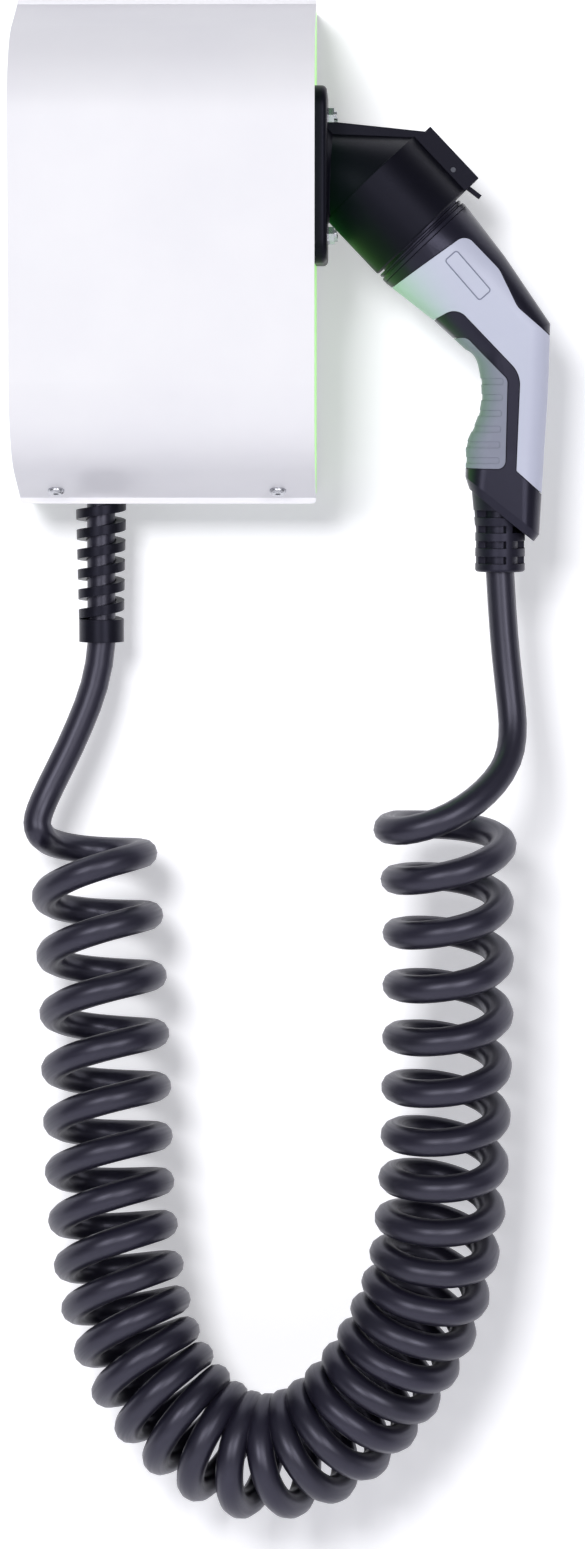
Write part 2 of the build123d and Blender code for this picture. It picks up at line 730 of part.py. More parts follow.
# Holster: foot, flared neck with a fin on top, inclined tube and latch boss in one moulding
along = Vector(cos(radians(tube_angle)), 0, -sin(radians(tube_angle)))
above = Vector(sin(radians(tube_angle)), 0, cos(radians(tube_angle)))
mouth = Vector(mouth_x, -holster_depth, mouth_z)
tube_end = Plane(origin=mouth, x_dir=above, z_dir=along)
tube_side = Plane(origin=mouth, x_dir=along, z_dir=(0, -1, 0))
foot_face = panel_outer + foot_sheet
tube_radius = tube_d / 2
pivot_height = tube_radius + pivot_above
boss_top = tube_radius + boss_rise
roof = boss_top - boss_roof
slot_floor = tube_radius - 4
slot_length = hook_back + hook_length / 2 + hook_run
fin_tip = mouth - along * boss_length + above * fin_reach
fin_seat = mouth - along * boss_length + above * slot_floor
bolt_hole_d = screw_d + 2 * fit_gap
with BuildPart() as holster:
    with BuildSketch(Plane.YZ.offset(panel_outer)):
        with Locations((-holster_depth, holster_z)):
            RectangleRounded(foot_size, foot_size, foot_corner)
    extrude(amount=foot_sheet)
    fillet(holster.faces().sort_by(Axis.X)[-1].edges(), radius=foot_edge)
    with BuildSketch(Plane.YZ.offset(foot_face - 2)):
        with Locations((-holster_depth, neck_root_z)):
            Circle(neck_root_d / 2)
    with BuildSketch(tube_end.offset(-tube_length)):
        Circle(tube_radius - neck_step)
    loft()
    with BuildSketch(Plane.YZ.offset(foot_face)):
        with Locations((-holster_depth, neck_root_z)):
            Circle(neck_root_d / 2 + neck_flare)
    extrude(amount=neck_flare, taper=45)
    with BuildSketch(Plane.XZ.offset(holster_depth)):
        with BuildLine():
            Polyline(
                (foot_face - 1, fin_root_z),
                (fin_tip.X, fin_tip.Z),
                (fin_seat.X, fin_seat.Z),
                (foot_face - 1, neck_root_z),
                close=True,
            )
        make_face()
    extrude(amount=boss_width / 2, both=True)
    with BuildSketch(tube_end.offset(-tube_length)):
        Circle(tube_radius)
    extrude(amount=tube_length)
    tube_rims = holster.edges().filter_by(GeomType.CIRCLE)
    chamfer(tube_rims.filter_by(lambda e: (e.arc_center - mouth).length < fit_gap), length=tube_edge)
    with BuildSketch(tube_side):
        with Locations((-boss_length / 2, (boss_top + slot_floor) / 2)):
            Rectangle(boss_length, boss_top - slot_floor)
    extrude(amount=boss_width / 2, both=True)
    with BuildSketch(Plane.YZ.offset(panel_outer)):
        with Locations((-holster_depth, neck_root_z)):
            Circle(neck_root_d / 2 - neck_wall)
    with BuildSketch(tube_end.offset(-tube_length)):
        Circle(nose_radius + nose_gap)
    loft(mode=Mode.SUBTRACT)
    with BuildSketch(tube_end.offset(-tube_length)):
        Circle(nose_radius + nose_gap)
        with Locations((nose_flat + nose_gap + nose_radius, 0)):
            Rectangle(2 * nose_radius, 2 * tube_d, mode=Mode.SUBTRACT)
    extrude(amount=tube_length, mode=Mode.SUBTRACT)
    with BuildSketch(tube_side):
        with Locations((-slot_length / 2, (roof + slot_floor) / 2)):
            Rectangle(slot_length, roof - slot_floor)
    extrude(amount=slot_width / 2, both=True, mode=Mode.SUBTRACT)
    with BuildSketch(tube_side):
        with Locations((-hook_back - hook_run / 4, (nose_flat + tube_radius) / 2)):
            Rectangle(hook_length + hook_run, tube_radius - nose_flat)
    extrude(amount=slot_width / 2, both=True, mode=Mode.SUBTRACT)
    with BuildSketch(tube_side):
        with Locations((-pivot_back, pivot_height)):
            Circle(pivot_pin_d / 2)
    extrude(amount=boss_width, both=True, mode=Mode.SUBTRACT)
    with BuildSketch(Plane.YZ.offset(foot_face)):
        with Locations(*bolt_places):
            Circle(bolt_hole_d / 2)
    extrude(amount=-foot_sheet, mode=Mode.SUBTRACT)
holster.part.label = "holster"
export_step(holster.part, "parts/holster.step")

# Holster bolts through the side panel and a backing plate, with a nut on each end
panel_inner = panel_outer - panel_sheet
with BuildPart() as holster_backing:
    with BuildSketch(Plane.YZ.offset(panel_inner)):
        with Locations((-holster_depth, holster_z)):
            RectangleRounded(backing_size, backing_size, 6)
        with Locations(*bolt_places):
            Circle(bolt_hole_d / 2, mode=Mode.SUBTRACT)
    extrude(amount=-backing_sheet)
holster_backing.part.label = "holster_backing"
export_step(holster_backing.part, "parts/holster_backing.step")

bolt_seat = panel_inner - backing_sheet
with BuildPart() as holster_bolts:
    with BuildSketch(Plane.YZ.offset(bolt_seat)):
        with Locations(*bolt_places):
            Circle(bolt_head_d / 2)
    extrude(amount=-bolt_head_h)
    with BuildSketch(Plane.YZ.offset(bolt_seat)):
        with Locations(*bolt_places):
            Circle(screw_d / 2)
    extrude(amount=foot_face + nut_h + bolt_end - bolt_seat)
holster_bolts.part.label = "holster_bolts"
export_step(holster_bolts.part, "parts/holster_bolts.step")

with BuildPart() as holster_nuts:
    with BuildSketch(Plane.YZ.offset(foot_face)):
        with Locations(*bolt_places):
            RegularPolygon(nut_af / 2, 6, major_radius=False)
            Circle(screw_d / 2 + pin_gap, mode=Mode.SUBTRACT)
    extrude(amount=nut_h)
holster_nuts.part.label = "holster_nuts"
export_step(holster_nuts.part, "parts/holster_nuts.step")

# Latch lever: hook behind the pin, release tab in front of it
tab_height = pivot_height + tab_rise
with BuildPart() as latch_lever:
    with BuildSketch(tube_side):
        with BuildLine():
            Polyline(
                (-hook_back - hook_length / 2, pivot_height),
                (-pivot_back, pivot_height),
                (-3.5, pivot_height - 1.2),
                (tab_out, tab_height),
            )
        trace(line_width=lever_thickness)
        with Locations((-pivot_back, pivot_height)):
            Circle(lever_thickness + 0.4)
    extrude(amount=lever_width / 2, both=True)
    with BuildSketch(tube_side):
        hook_tip = nose_flat - nose_wall + 1.2
        with Locations((-hook_back, (pivot_height + hook_tip) / 2)):
            Rectangle(hook_length, pivot_height - hook_tip)
    extrude(amount=hook_width / 2, both=True)
    with BuildSketch(tube_side):
        with Locations((-pivot_back, pivot_height)):
            Circle(pivot_pin_d / 2 + pin_gap)
    extrude(amount=lever_width, both=True, mode=Mode.SUBTRACT)
latch_lever.part.label = "latch_lever"
export_step(latch_lever.part, "parts/latch_lever.step")

with BuildPart() as latch_pin:
    with BuildSketch(tube_side):
        with Locations((-pivot_back, pivot_height)):
            Circle(pivot_pin_d / 2)
    extrude(amount=boss_width / 2, both=True)
latch_pin.part.label = "latch_pin"
export_step(latch_pin.part, "parts/latch_pin.step")

# Leaf spring that presses the lever's rear arm down from the roof of the boss
leaf_top = roof - slide_gap - leaf_sheet / 2
leaf_low = pivot_height + lever_thickness / 2 + slide_gap + leaf_sheet / 2
leaf_rear = -hook_back - hook_length / 2
with BuildPart() as latch_spring:
    with BuildSketch(tube_side):
        with BuildLine():
            Polyline((-pivot_back, leaf_top), (-pivot_back - leaf_flat, leaf_top), (leaf_rear, leaf_low))
        trace(line_width=leaf_sheet)
    extrude(amount=leaf_width / 2, both=True)
latch_spring.part.label = "latch_spring"
export_step(latch_spring.part, "parts/latch_spring.step")


def nose_section(radius, flat):
    """Round section with one flat on the side of the latch."""
    with BuildSketch() as section:
        Circle(radius)
        with Locations((flat + radius, 0)):
            Rectangle(2 * radius, 2 * radius + 2, mode=Mode.SUBTRACT)
    return section.sketch


# Plug nose: flat-topped shroud with a notch for the latch hook
nose_end = 1.2
nose_floor = -4.0
with BuildPart() as plug_nose:
    with BuildSketch(tube_end.offset(-nose_length)):
        add(nose_section(nose_radius, nose_flat))
    extrude(amount=nose_length + nose_end)
    with BuildSketch(tube_end.offset(-nose_length)):
        add(nose_section(nose_radius - nose_wall, nose_flat - nose_wall))
    extrude(amount=nose_length + nose_floor, mode=Mode.SUBTRACT)
    with BuildSketch(tube_side):
        with Locations((-hook_back - hook_run / 4, nose_flat - nose_wall / 2)):
            Rectangle(hook_length + hook_run, nose_wall + 1)
    extrude(amount=notch_width / 2, both=True, mode=Mode.SUBTRACT)
plug_nose.part.label = "plug_nose"
export_step(plug_nose.part, "parts/plug_nose.step")

# Contact carrier with five power holes and two signal holes
power_places = [(0, 0), (0, line_spread), (0, -line_spread)]
power_places += [(-line_drop, line_half), (-line_drop, -line_half)]
signal_places = [(signal_rise, signal_half), (signal_rise, -signal_half)]
carrier_tip = nose_floor - carrier_depth
with BuildPart() as contact_carrier:
    with BuildSketch(tube_end.offset(carrier_tip)):
        Circle(carrier_d / 2)
        with Locations(*power_places):
            Circle(power_hole_d / 2, mode=Mode.SUBTRACT)
        with Locations(*signal_places):
            Circle(signal_hole_d / 2, mode=Mode.SUBTRACT)
    extrude(amount=carrier_depth)
contact_carrier.part.label = "contact_carrier"
export_step(contact_carrier.part, "parts/contact_carrier.step")

with BuildPart() as contact_sleeves:
    with BuildSketch(tube_end.offset(carrier_tip + 3)):
        with Locations(*power_places):
            Circle(power_hole_d / 2 - pin_gap)
            Circle(power_hole_d / 2 - pin_gap - contact_wall, mode=Mode.SUBTRACT)
        with Locations(*signal_places):
            Circle(signal_hole_d / 2 - pin_gap)
            Circle(signal_hole_d / 2 - pin_gap - contact_wall, mode=Mode.SUBTRACT)
    extrude(amount=carrier_depth - 3)
contact_sleeves.part.label = "contact_sleeves"
export_step(contact_sleeves.part, "parts/contact_sleeves.step")

# Collar between the nose and the shells, turned about the middle of the flat-topped section
with BuildPart() as plug_collar:
    with BuildSketch(tube_end.offset(nose_end)):
        with Locations((-collar_offset, 0)):
            Circle(collar_d / 2)
    extrude(amount=collar_h)
    with BuildSketch(tube_end.offset(nose_end + collar_h)):
        with Locations((-collar_offset, 0)):
            Circle(collar_d / 2 - collar_groove)
    extrude(amount=collar_groove)
    with BuildSketch(tube_end.offset(nose_end + collar_h + collar_groove)):
        with Locations((-collar_offset, 0)):
            Circle(collar_ring_d / 2)
    extrude(amount=body_start - nose_end - collar_h - collar_groove)
    circles = plug_collar.edges().filter_by(GeomType.CIRCLE)
    chamfer(circles.filter_by(lambda e: e.radius > collar_d / 2 - pin_gap), length=collar_edge)
plug_collar.part.label = "plug_collar"
export_step(plug_collar.part, "parts/plug_collar.step")


def body_point(out, up):
    """Point in the plug's middle plane, out from the holster's mouth and up from the tube's axis."""
    return (mouth_x + along.X * out + above.X * up, mouth_z + along.Z * out + above.Z * up)


# Sections of the plug body: inner edge, outer edge, thickness and corner radius
collar_side = body_point(body_start, -collar_offset - head_d / 2)
collar_back = body_point(body_start, -collar_offset + head_d / 2)
elbow_section = ((173.0, -56.3), (220.9, -41.5), elbow_thickness, 13.0)
waist_section = ((173.2, -116.0), (217.8, -117.0), waist_thickness, 13.0)
head_sections = [
    (collar_side, collar_back, head_d, head_d / 2 - 0.2),
    ((154.4, -39.5), (194.6, -2.9), 57.0, 19.0),
    elbow_section,
]
grip_sections = [
    elbow_section,
    ((180.3, -66.0), (220.4, -58.0), 47.5, 13.0),
    ((181.9, -76.5), (220.0, -74.0), 46.0, 13.0),
    ((181.5, -88.5), (219.4, -88.5), 44.5, 13.0),
    ((178.4, -98.8), (218.8, -98.8), 43.5, 13.0),
    ((174.7, -107.0), (218.3, -107.5), 42.7, 13.0),
    waist_section,
]
rim_sections = [
    waist_section,
    ((172.9, -129.5), (215.3, -162.5), 41.0, 13.0),
    ((175.2, -136.5), (212.2, -166.4), 37.6, 11.0),
]


def section_plane(inner, outer):
    """Plane across the plug body, from its inner edge to its outer edge."""
    middle = ((inner[0] + outer[0]) / 2, -holster_depth, (inner[1] + outer[1]) / 2)
    across = Vector(outer[0] - inner[0], 0, outer[1] - inner[1])
    return Plane(origin=middle, x_dir=across, z_dir=across.cross(Vector(0, 1, 0)))


def plug_form(inset):
    """Outer form of the plug body, head, grip and slanted rim, moved inwards by inset."""
    with BuildPart() as form:
        for sections, straight in ((head_sections, True), (grip_sections, False), (rim_sections, True)):
            for inner, outer, thickness, corner in sections:
                shift = 0
                if inner == collar_side:
                    shift = -inset
                if inner == rim_sections[-1][0]:
                    shift = inset
                width = Vector(outer[0] - inner[0], 0, outer[1] - inner[1]).length
                with BuildSketch(section_plane(inner, outer).offset(shift)):
                    RectangleRounded(width - 2 * inset, thickness - 2 * inset, corner - inset)
            loft(ruled=straight)
    return form.part


full_form = plug_form(0)
core_form = plug_form(cheek_depth)
hollow_form = plug_form(shell_wall)

# Side view of the inlays, a cheek panel and a ribbed grip pad: each corner with its radius
cheek_corners = [
    (110.0, -34.8, 0), (172.0, 9.5, 7.0), (191.5, -10.6, 15.0), (201.9, -31.9, 12.0), (245.0, -68.9, 0),
    (245.0, -164.6, 0), (201.2, -125.7, 2.0), (203.2, -70.2, 16.0), (167.0, -32.7, 9.0), (140.0, -47.4, 0),
]
grip_corners = [
    (160.0, -50.0, 0), (172.8, -48.9, 6.0), (196.6, -73.2, 5.5), (195.6, -124.9, 5.0), (160.0, -124.2, 0),
]


def inlay_prism(corners, gap):
    """Prism through the plug's thickness on a rounded outline, moved inwards by gap."""
    points = [corner[:2] for corner in corners]
    radii = [corner[2] for corner in corners]
    with BuildPart() as prism:
        with BuildSketch(Plane.XZ):
            with BuildLine():
                FilletPolyline(*points, radius=radii, close=True)
            make_face()
            if gap > 0:
                offset(amount=-gap, mode=Mode.REPLACE)
        extrude(amount=2 * holster_depth)
    return prism.part


with BuildPart() as rib_slots:
    rib_reach = rib_end - grip_corners[0][0]
    with BuildSketch(Plane.XZ):
        for rib in range(rib_count):
            rib_tip = rib_end - rib * rib_lean
            with Locations((rib_tip - rib_reach / 2, rib_top - rib * rib_pitch)):
                RectangleRounded(rib_reach, rib_width, rib_corner)
    extrude(amount=2 * holster_depth)
    add(plug_form(rib_depth), mode=Mode.SUBTRACT)
with BuildPart() as outer_skin:
    add(full_form)
    add(core_form, mode=Mode.SUBTRACT)
with BuildPart() as cheek_seat:
    add(outer_skin.part)
    add(inlay_prism(cheek_corners, 0), mode=Mode.INTERSECT)
with BuildPart() as cheek_skin:
    add(outer_skin.part)
    add(inlay_prism(cheek_corners, inlay_gap), mode=Mode.INTERSECT)
with BuildPart() as grip_seat:
    add(outer_skin.part)
    add(inlay_prism(grip_corners, 0), mode=Mode.INTERSECT)
with BuildPart() as grip_skin:
    add(outer_skin.part)
    add(inlay_prism(grip_corners, inlay_gap), mode=Mode.INTERSECT)
    add(rib_slots.part, mode=Mode.SUBTRACT)

# Two half shells, hollow, with their cheeks and grips let in flush, and a round opening for the boot
boot_hole_d = boot_flare_d + 2 * fit_gap
half_planes = (
    (Plane.XZ.offset(holster_depth + seam_gap / 2), Keep.TOP, "front"),
    (Plane.XZ.offset(holster_depth - seam_gap / 2), Keep.BOTTOM, "rear"),
)
for seam, kept, half_name in half_planes:
    with BuildPart() as plug_shell:
        add(full_form)
        split(bisect_by=seam, keep=kept)
        add(hollow_form, mode=Mode.SUBTRACT)
        add(cheek_seat.part, mode=Mode.SUBTRACT)
        add(grip_seat.part, mode=Mode.SUBTRACT)
        with BuildSketch(Plane.XY.offset(boot_top)):
            with Locations((boot_x, -holster_depth)):
                Circle(boot_hole_d / 2)
        extrude(amount=boot_bottom - boot_top, mode=Mode.SUBTRACT)
    with BuildPart() as plug_cheek:
        add(cheek_skin.part)
        split(bisect_by=seam, keep=kept)
    with BuildPart() as plug_grip:
        add(grip_skin.part)
        split(bisect_by=seam, keep=kept)
    for name, piece in (("shell", plug_shell), ("cheek", plug_cheek), ("grip", plug_grip)):
        piece.part.label = "plug_" + name + "_" + half_name
        export_step(piece.part, "parts/" + piece.part.label + ".step")

# Boot round the cable below the plug: flared at the top, with rings of four bending windows
boot_plane = Plane(origin=(boot_x, -holster_depth, 0), x_dir=(1, 0, 0), z_dir=(0, -1, 0))
boot_axis = Axis((boot_x, -holster_depth, 0), (0, 0, 1))
with BuildPart() as plug_boot:
    with BuildSketch(boot_plane):
        with BuildLine():
            Polyline(
                (cable_hole_d / 2, boot_bottom),
                (boot_d / 2, boot_bottom),
                (boot_d / 2, boot_flare_start),
                (boot_flare_d / 2, boot_flare_end),
                (boot_flare_d / 2, boot_top),
                (cable_hole_d / 2, boot_top),
                close=True,
            )
        make_face()
    revolve(axis=boot_axis)
    fillet(plug_boot.edges().group_by(Axis.Z)[0].sort_by(SortBy.RADIUS)[-1], radius=boot_edge)
    for slot in range(boot_slot_count):
        slot_z = boot_slot_top - slot * boot_slot_pitch - boot_slot_h / 2
        with BuildSketch(Plane.XY.offset(slot_z)):
            with Locations((boot_x, -holster_depth)):
                Circle(boot_flare_d)
                Circle(boot_core_d / 2, mode=Mode.SUBTRACT)
                Rectangle(boot_bridge, 3 * boot_d, rotation=boot_turn, mode=Mode.SUBTRACT)
                Rectangle(3 * boot_d, boot_bridge, rotation=boot_turn, mode=Mode.SUBTRACT)
        extrude(amount=boot_slot_h, mode=Mode.SUBTRACT)
plug_boot.part.label = "plug_boot"
export_step(plug_boot.part, "parts/plug_boot.step")

sheath_end = boot_top + 16
with BuildPart() as plug_sheath:
    with BuildSketch(Plane.XY.offset(boot_bottom)):
        with Locations((boot_x, -holster_depth)):
            Circle(cable_d / 2)
    extrude(amount=sheath_end - boot_bottom)
plug_sheath.part.label = "plug_sheath"
export_step(plug_sheath.part, "parts/plug_sheath.step")

with BuildPart() as cable_clamp:
    with BuildSketch(Plane.XY.offset(boot_top + 1)):
        with Locations((boot_x, -holster_depth)):
            RectangleRounded(clamp_width, clamp_depth, 4)
            Circle(cable_d / 2 + pin_gap, mode=Mode.SUBTRACT)
    extrude(amount=clamp_height)
cable_clamp.part.label = "cable_clamp"
export_step(cable_clamp.part, "parts/cable_clamp.step")


def arc_radii(points):
    """Radius of the arc at each corner of a route, as large as its two runs allow."""
    radii = []
    for before, corner, after in zip(points, points[1:], points[2:]):
        run_in = Vector(*corner) - Vector(*before)
        run_out = Vector(*after) - Vector(*corner)
        half_turn = radians(run_in.get_angle(run_out) / 2)
        radii.append(0.45 * min(run_in.length, run_out.length) / tan(half_turn))
    return radii


# Lead pieces
for name, points, diameter in (
    ("wallbox_lead", wallbox_lead_points, cable_d),
    ("lead_coil", coil_points, coil_outer_d),
    ("plug_lead", plug_lead_points, cable_d),
):
    radii = arc_radii(points)
    with BuildPart() as lead:
        with BuildLine() as route:
            FilletPolyline(*points, radius=radii)
        with BuildSketch(Plane(origin=route.line @ 0, z_dir=route.line % 0)):
            Circle(diameter / 2)
        sweep(path=route.line)
    lead.part.label = name
    export_step(lead.part, "parts/" + name + ".step")
    route_length = route.wires()[0].length
    print(name, "radii", [round(radius, 1) for radius in radii], "length", round(route_length, 1))
    print(name, "volume", round(lead.part.volume), "expected", round(route_length * pi * diameter**2 / 4))
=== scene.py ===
"""Looks of a wall charger with lit side panels, a holster and a connector on a coiled lead."""

import json
import logging
import math
from dataclasses import dataclass
from enum import Enum

import bmesh
import bpy
from mathutils import Matrix, Vector

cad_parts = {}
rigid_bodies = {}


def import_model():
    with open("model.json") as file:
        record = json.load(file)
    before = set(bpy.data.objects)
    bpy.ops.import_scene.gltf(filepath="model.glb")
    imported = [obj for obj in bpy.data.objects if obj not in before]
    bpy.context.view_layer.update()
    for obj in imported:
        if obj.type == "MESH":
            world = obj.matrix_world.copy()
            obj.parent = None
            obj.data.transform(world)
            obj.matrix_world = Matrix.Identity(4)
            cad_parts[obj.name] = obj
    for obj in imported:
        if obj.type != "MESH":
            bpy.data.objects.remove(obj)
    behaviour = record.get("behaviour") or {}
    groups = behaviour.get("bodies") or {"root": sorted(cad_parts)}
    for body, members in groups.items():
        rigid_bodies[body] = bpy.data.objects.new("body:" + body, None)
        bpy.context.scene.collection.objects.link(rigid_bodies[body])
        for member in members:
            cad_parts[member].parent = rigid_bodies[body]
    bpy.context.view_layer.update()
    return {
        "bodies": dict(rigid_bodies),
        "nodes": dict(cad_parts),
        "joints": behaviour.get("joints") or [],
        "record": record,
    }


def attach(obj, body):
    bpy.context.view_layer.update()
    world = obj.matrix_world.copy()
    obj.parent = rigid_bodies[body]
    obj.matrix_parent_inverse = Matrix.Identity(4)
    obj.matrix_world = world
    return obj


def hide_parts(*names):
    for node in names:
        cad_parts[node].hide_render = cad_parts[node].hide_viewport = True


LOG = logging.getLogger("wall_charger")
MM = 0.001
BODY = "wallbox"
# Metres that the lead's own surface coordinates span, along it and round it
JACKET_SPAN = (6.6, 0.052, 1.0)
# Broad patches of a finish: how many to a metre, and the part of the noise that blends the tones
PATCHES_PER_METRE = 14.0
PATCH_RANGE = (0.35, 0.7)
# Fine pattern of a finish: the part of the noise that it uses, and how far it moves the roughness
GRAIN_RANGE = (0.3, 0.7)
GRAIN_STRENGTH = 0.6
ROUGHNESS_SPREAD = 0.06
COAT_ROUGHNESS = 0.12
SHEEN_ROUGHNESS = 0.5


def linear(code: str) -> tuple[float, float, float, float]:
    """Turn an sRGB hex value into linear colour.

    Args:
        code: Hex value such as "#f4f4f8".

    Returns:
        Red, green, blue and alpha, linear.
    """
    parts = [int(code[i : i + 2], 16) / 255 for i in (1, 3, 5)]
    red, green, blue = (
        part / 12.92 if part <= 0.04045 else ((part + 0.055) / 1.055) ** 2.4 for part in parts
    )
    return (red, green, blue, 1.0)


def add_node(
    tree: bpy.types.NodeTree,
    kind: str,
    settings: dict[str, object] | None = None,
    values: dict[str | int, object] | None = None,
    links: dict[str | int, bpy.types.NodeSocket] | None = None,
) -> bpy.types.Node:
    """Add one shader node with its settings, socket values and links.

    Args:
        tree: Node tree that the node joins.
        kind: Type name without its ShaderNode prefix.
        settings: Attributes of the node.
        values: Default values by input socket.
        links: Output sockets by the input socket that they feed.

    Returns:
        The new node.
    """
    node = tree.nodes.new("ShaderNode" + kind)
    for name, value in (settings or {}).items():
        setattr(node, name, value)
    for socket, value in (values or {}).items():
        node.inputs[socket].default_value = value
    for socket, source in (links or {}).items():
        tree.links.new(source, node.inputs[socket])
    return node


class Surface(Enum):
    """How a surface was made, which settles its fine pattern."""

    POWDER_COAT = "powder coat"
    MOULDED = "moulded"
    EXTRUDED = "extruded"
    ROLLED_STEEL = "rolled steel"
    TURNED_METAL = "turned metal"
    SOFT_RUBBER = "soft rubber"


EVEN = (1.0, 1.0, 1.0)
# Scale of the fine pattern along each axis where the making drew it out
DRAWN_OUT = {Surface.ROLLED_STEEL: (1.0, 1.0, 0.06), Surface.EXTRUDED: (0.04, 1.0, 1.0)}


@dataclass(frozen=True)
class Finish:
    """One real material with its colour, sheen and fine pattern.

    Args:
        name: Common name of the material and how it was made.
        colour: sRGB hex value of the clean surface.
        tone: sRGB hex value that the colour drifts to in broad patches.
        surface: How the surface was made.
        roughness: Middle value of the roughness.
        grain_mm: Real size of the fine pattern.
        bump_mm: Height of the fine pattern.
        metallic: 1 for bare metal.
        ior: Index of refraction of a plastic, rubber or lacquer.
        coat: Strength of a clear top layer.
        sheen: Strength of the dusty sheen of rubber.
        shine: Strength of the plain reflection, 0.5 for an untreated surface.
        edge_mm: Radius at which the sharp edges look rounded.
        glint: sRGB hex value of the tint of the plain reflection.
    """

    name: str
    colour: str
    tone: str
    surface: Surface
    roughness: float
    grain_mm: float
    bump_mm: float
    metallic: float = 0.0
    ior: float = 1.5
    coat: float = 0.0
    sheen: float = 0.0
    shine: float = 0.5
    edge_mm: float = 0.3
    glint: str = "#ffffff"

    def material(self) -> bpy.types.Material:
        """Make the material, or give the one made before."""
        made = bpy.data.materials.get(self.name)
        if made:
            return made
        made = bpy.data.materials.new(self.name)
        made.use_nodes = True
        tree = made.node_tree
        shader = tree.nodes["Principled BSDF"]
        self.tune(shader)
        place = self.place_in_metres(tree)
        self.colour_drift(tree, place, shader)
        self.fine_pattern(tree, place, shader)
        return made

    def place_in_metres(self, tree: bpy.types.NodeTree) -> bpy.types.NodeSocket:
        """Give the place on the surface, along and round the lead for its extruded jacket.

        Args:
            tree: Node tree of the material.

        Returns:
            The socket with the place in metres.
        """
        place = add_node(tree, "TexCoord").outputs
        if self.surface is not Surface.EXTRUDED:
            return place["Object"]
        span = add_node(tree, "Mapping", values={"Scale": JACKET_SPAN}, links={"Vector": place["UV"]})
        return span.outputs["Vector"]

    def tune(self, shader: bpy.types.Node) -> None:
        """Set the uniform values on the shader's own sockets.

        Args:
            shader: Main shader of the material.
        """
        shader.inputs["Metallic"].default_value = self.metallic
        if not self.metallic:
            shader.inputs["IOR"].default_value = self.ior
            shader.inputs["Specular IOR Level"].default_value = self.shine
            shader.inputs["Specular Tint"].default_value = linear(self.glint)
        shader.inputs["Coat Weight"].default_value = self.coat
        shader.inputs["Coat Roughness"].default_value = COAT_ROUGHNESS
        shader.inputs["Sheen Weight"].default_value = self.sheen
        shader.inputs["Sheen Roughness"].default_value = SHEEN_ROUGHNESS

    def colour_drift(
        self, tree: bpy.types.NodeTree, place: bpy.types.NodeSocket, shader: bpy.types.Node
    ) -> None:
        """Let the colour drift in broad soft patches, as on a part in use.

        Args:
            tree: Node tree of the material.
            place: Socket with the place on the surface.
            shader: Main shader of the material.
        """
        patches = add_node(
            tree,
            "TexNoise",
            values={"Scale": PATCHES_PER_METRE, "Detail": 4.0, "Roughness": 0.55},
            links={"Vector": place},
        )
        blend = add_node(
            tree,
            "MapRange",
            values={"From Min": PATCH_RANGE[0], "From Max": PATCH_RANGE[1]},
            links={"Value": patches.outputs["Fac"]},
        )
        mix = add_node(
            tree,
            "Mix",
            {"data_type": "RGBA"},
            {"A": linear(self.colour), "B": linear(self.tone)},
            {"Factor": blend.outputs["Result"]},
        )
        tree.links.new(mix.outputs["Result"], shader.inputs["Base Color"])

    def fine_pattern(
        self, tree: bpy.types.NodeTree, place: bpy.types.NodeSocket, shader: bpy.types.Node
    ) -> None:
        """Draw the fine pattern in bump and roughness at its real size.

        Args:
            tree: Node tree of the material.
            place: Socket with the place on the surface.
            shader: Main shader of the material.
        """
        scaled = add_node(
            tree,
            "Mapping",
            values={"Scale": DRAWN_OUT.get(self.surface, EVEN)},
            links={"Vector": place},
        )
        grain = add_node(
            tree,
            "TexNoise",
            values={"Scale": 1 / (self.grain_mm * MM), "Detail": 3.0, "Roughness": 0.6},
            links={"Vector": scaled.outputs["Vector"]},
        )
        spread = add_node(
            tree,
            "MapRange",
            values={
                "From Min": GRAIN_RANGE[0],
                "From Max": GRAIN_RANGE[1],
                "To Min": self.roughness - ROUGHNESS_SPREAD,
                "To Max": self.roughness + ROUGHNESS_SPREAD,
            },
            links={"Value": grain.outputs["Fac"]},
        )
        tree.links.new(spread.outputs["Result"], shader.inputs["Roughness"])
        edge = add_node(tree, "Bevel", {"samples": 4}, {"Radius": self.edge_mm * MM})
        bump = add_node(
            tree,
            "Bump",
            values={"Strength": GRAIN_STRENGTH, "Distance": self.bump_mm * MM},
            links={"Height": grain.outputs["Fac"], "Normal": edge.outputs["Normal"]},
        )
        tree.links.new(bump.outputs["Normal"], shader.inputs["Normal"])


# Cool tint that black plastics and rubbers give back from the lamps
LILAC = "#d6d4f6"

# Polyester powder coat on steel: a fine orange peel, drawn at 1.6 mm, breaks its soft shine
POWDER_WHITE = Finish(
    "powder_coat_white",
    "#f6f5fa",
    "#f2f1f7",
    Surface.POWDER_COAT,
    roughness=0.42,
    grain_mm=1.6,
    bump_mm=0.03,
    coat=0.05,
    shine=0.4,
)
# Polyamide with glass fibre, moulded: fine spark-eroded grain and a low sheen
HOLSTER_BLACK = Finish(
    "polyamide_moulded_black",
    "#0b0b12",
    "#0f0f18",
    Surface.MOULDED,
    roughness=0.4,
    grain_mm=0.9,
    bump_mm=0.02,
    shine=0.16,
    edge_mm=0.6,
    glint=LILAC,
)
# Polycarbonate blend, moulded: a satin black that shows soft highlights along its edges
CONNECTOR_BLACK = Finish(
    "polycarbonate_blend_black",
    "#13121b",
    "#191824",
    Surface.MOULDED,
    roughness=0.34,
    grain_mm=0.7,
    bump_mm=0.02,
    shine=0.45,
    edge_mm=0.5,
    glint=LILAC,
)
# The same blend in pale blue grey, a little duller
CHEEK_GREY = Finish(
    "polycarbonate_blend_grey",
    "#c9cce0",
    "#c3c6da",
    Surface.MOULDED,
    roughness=0.46,
    grain_mm=0.6,
    bump_mm=0.015,
    shine=0.4,
    edge_mm=0.5,
)
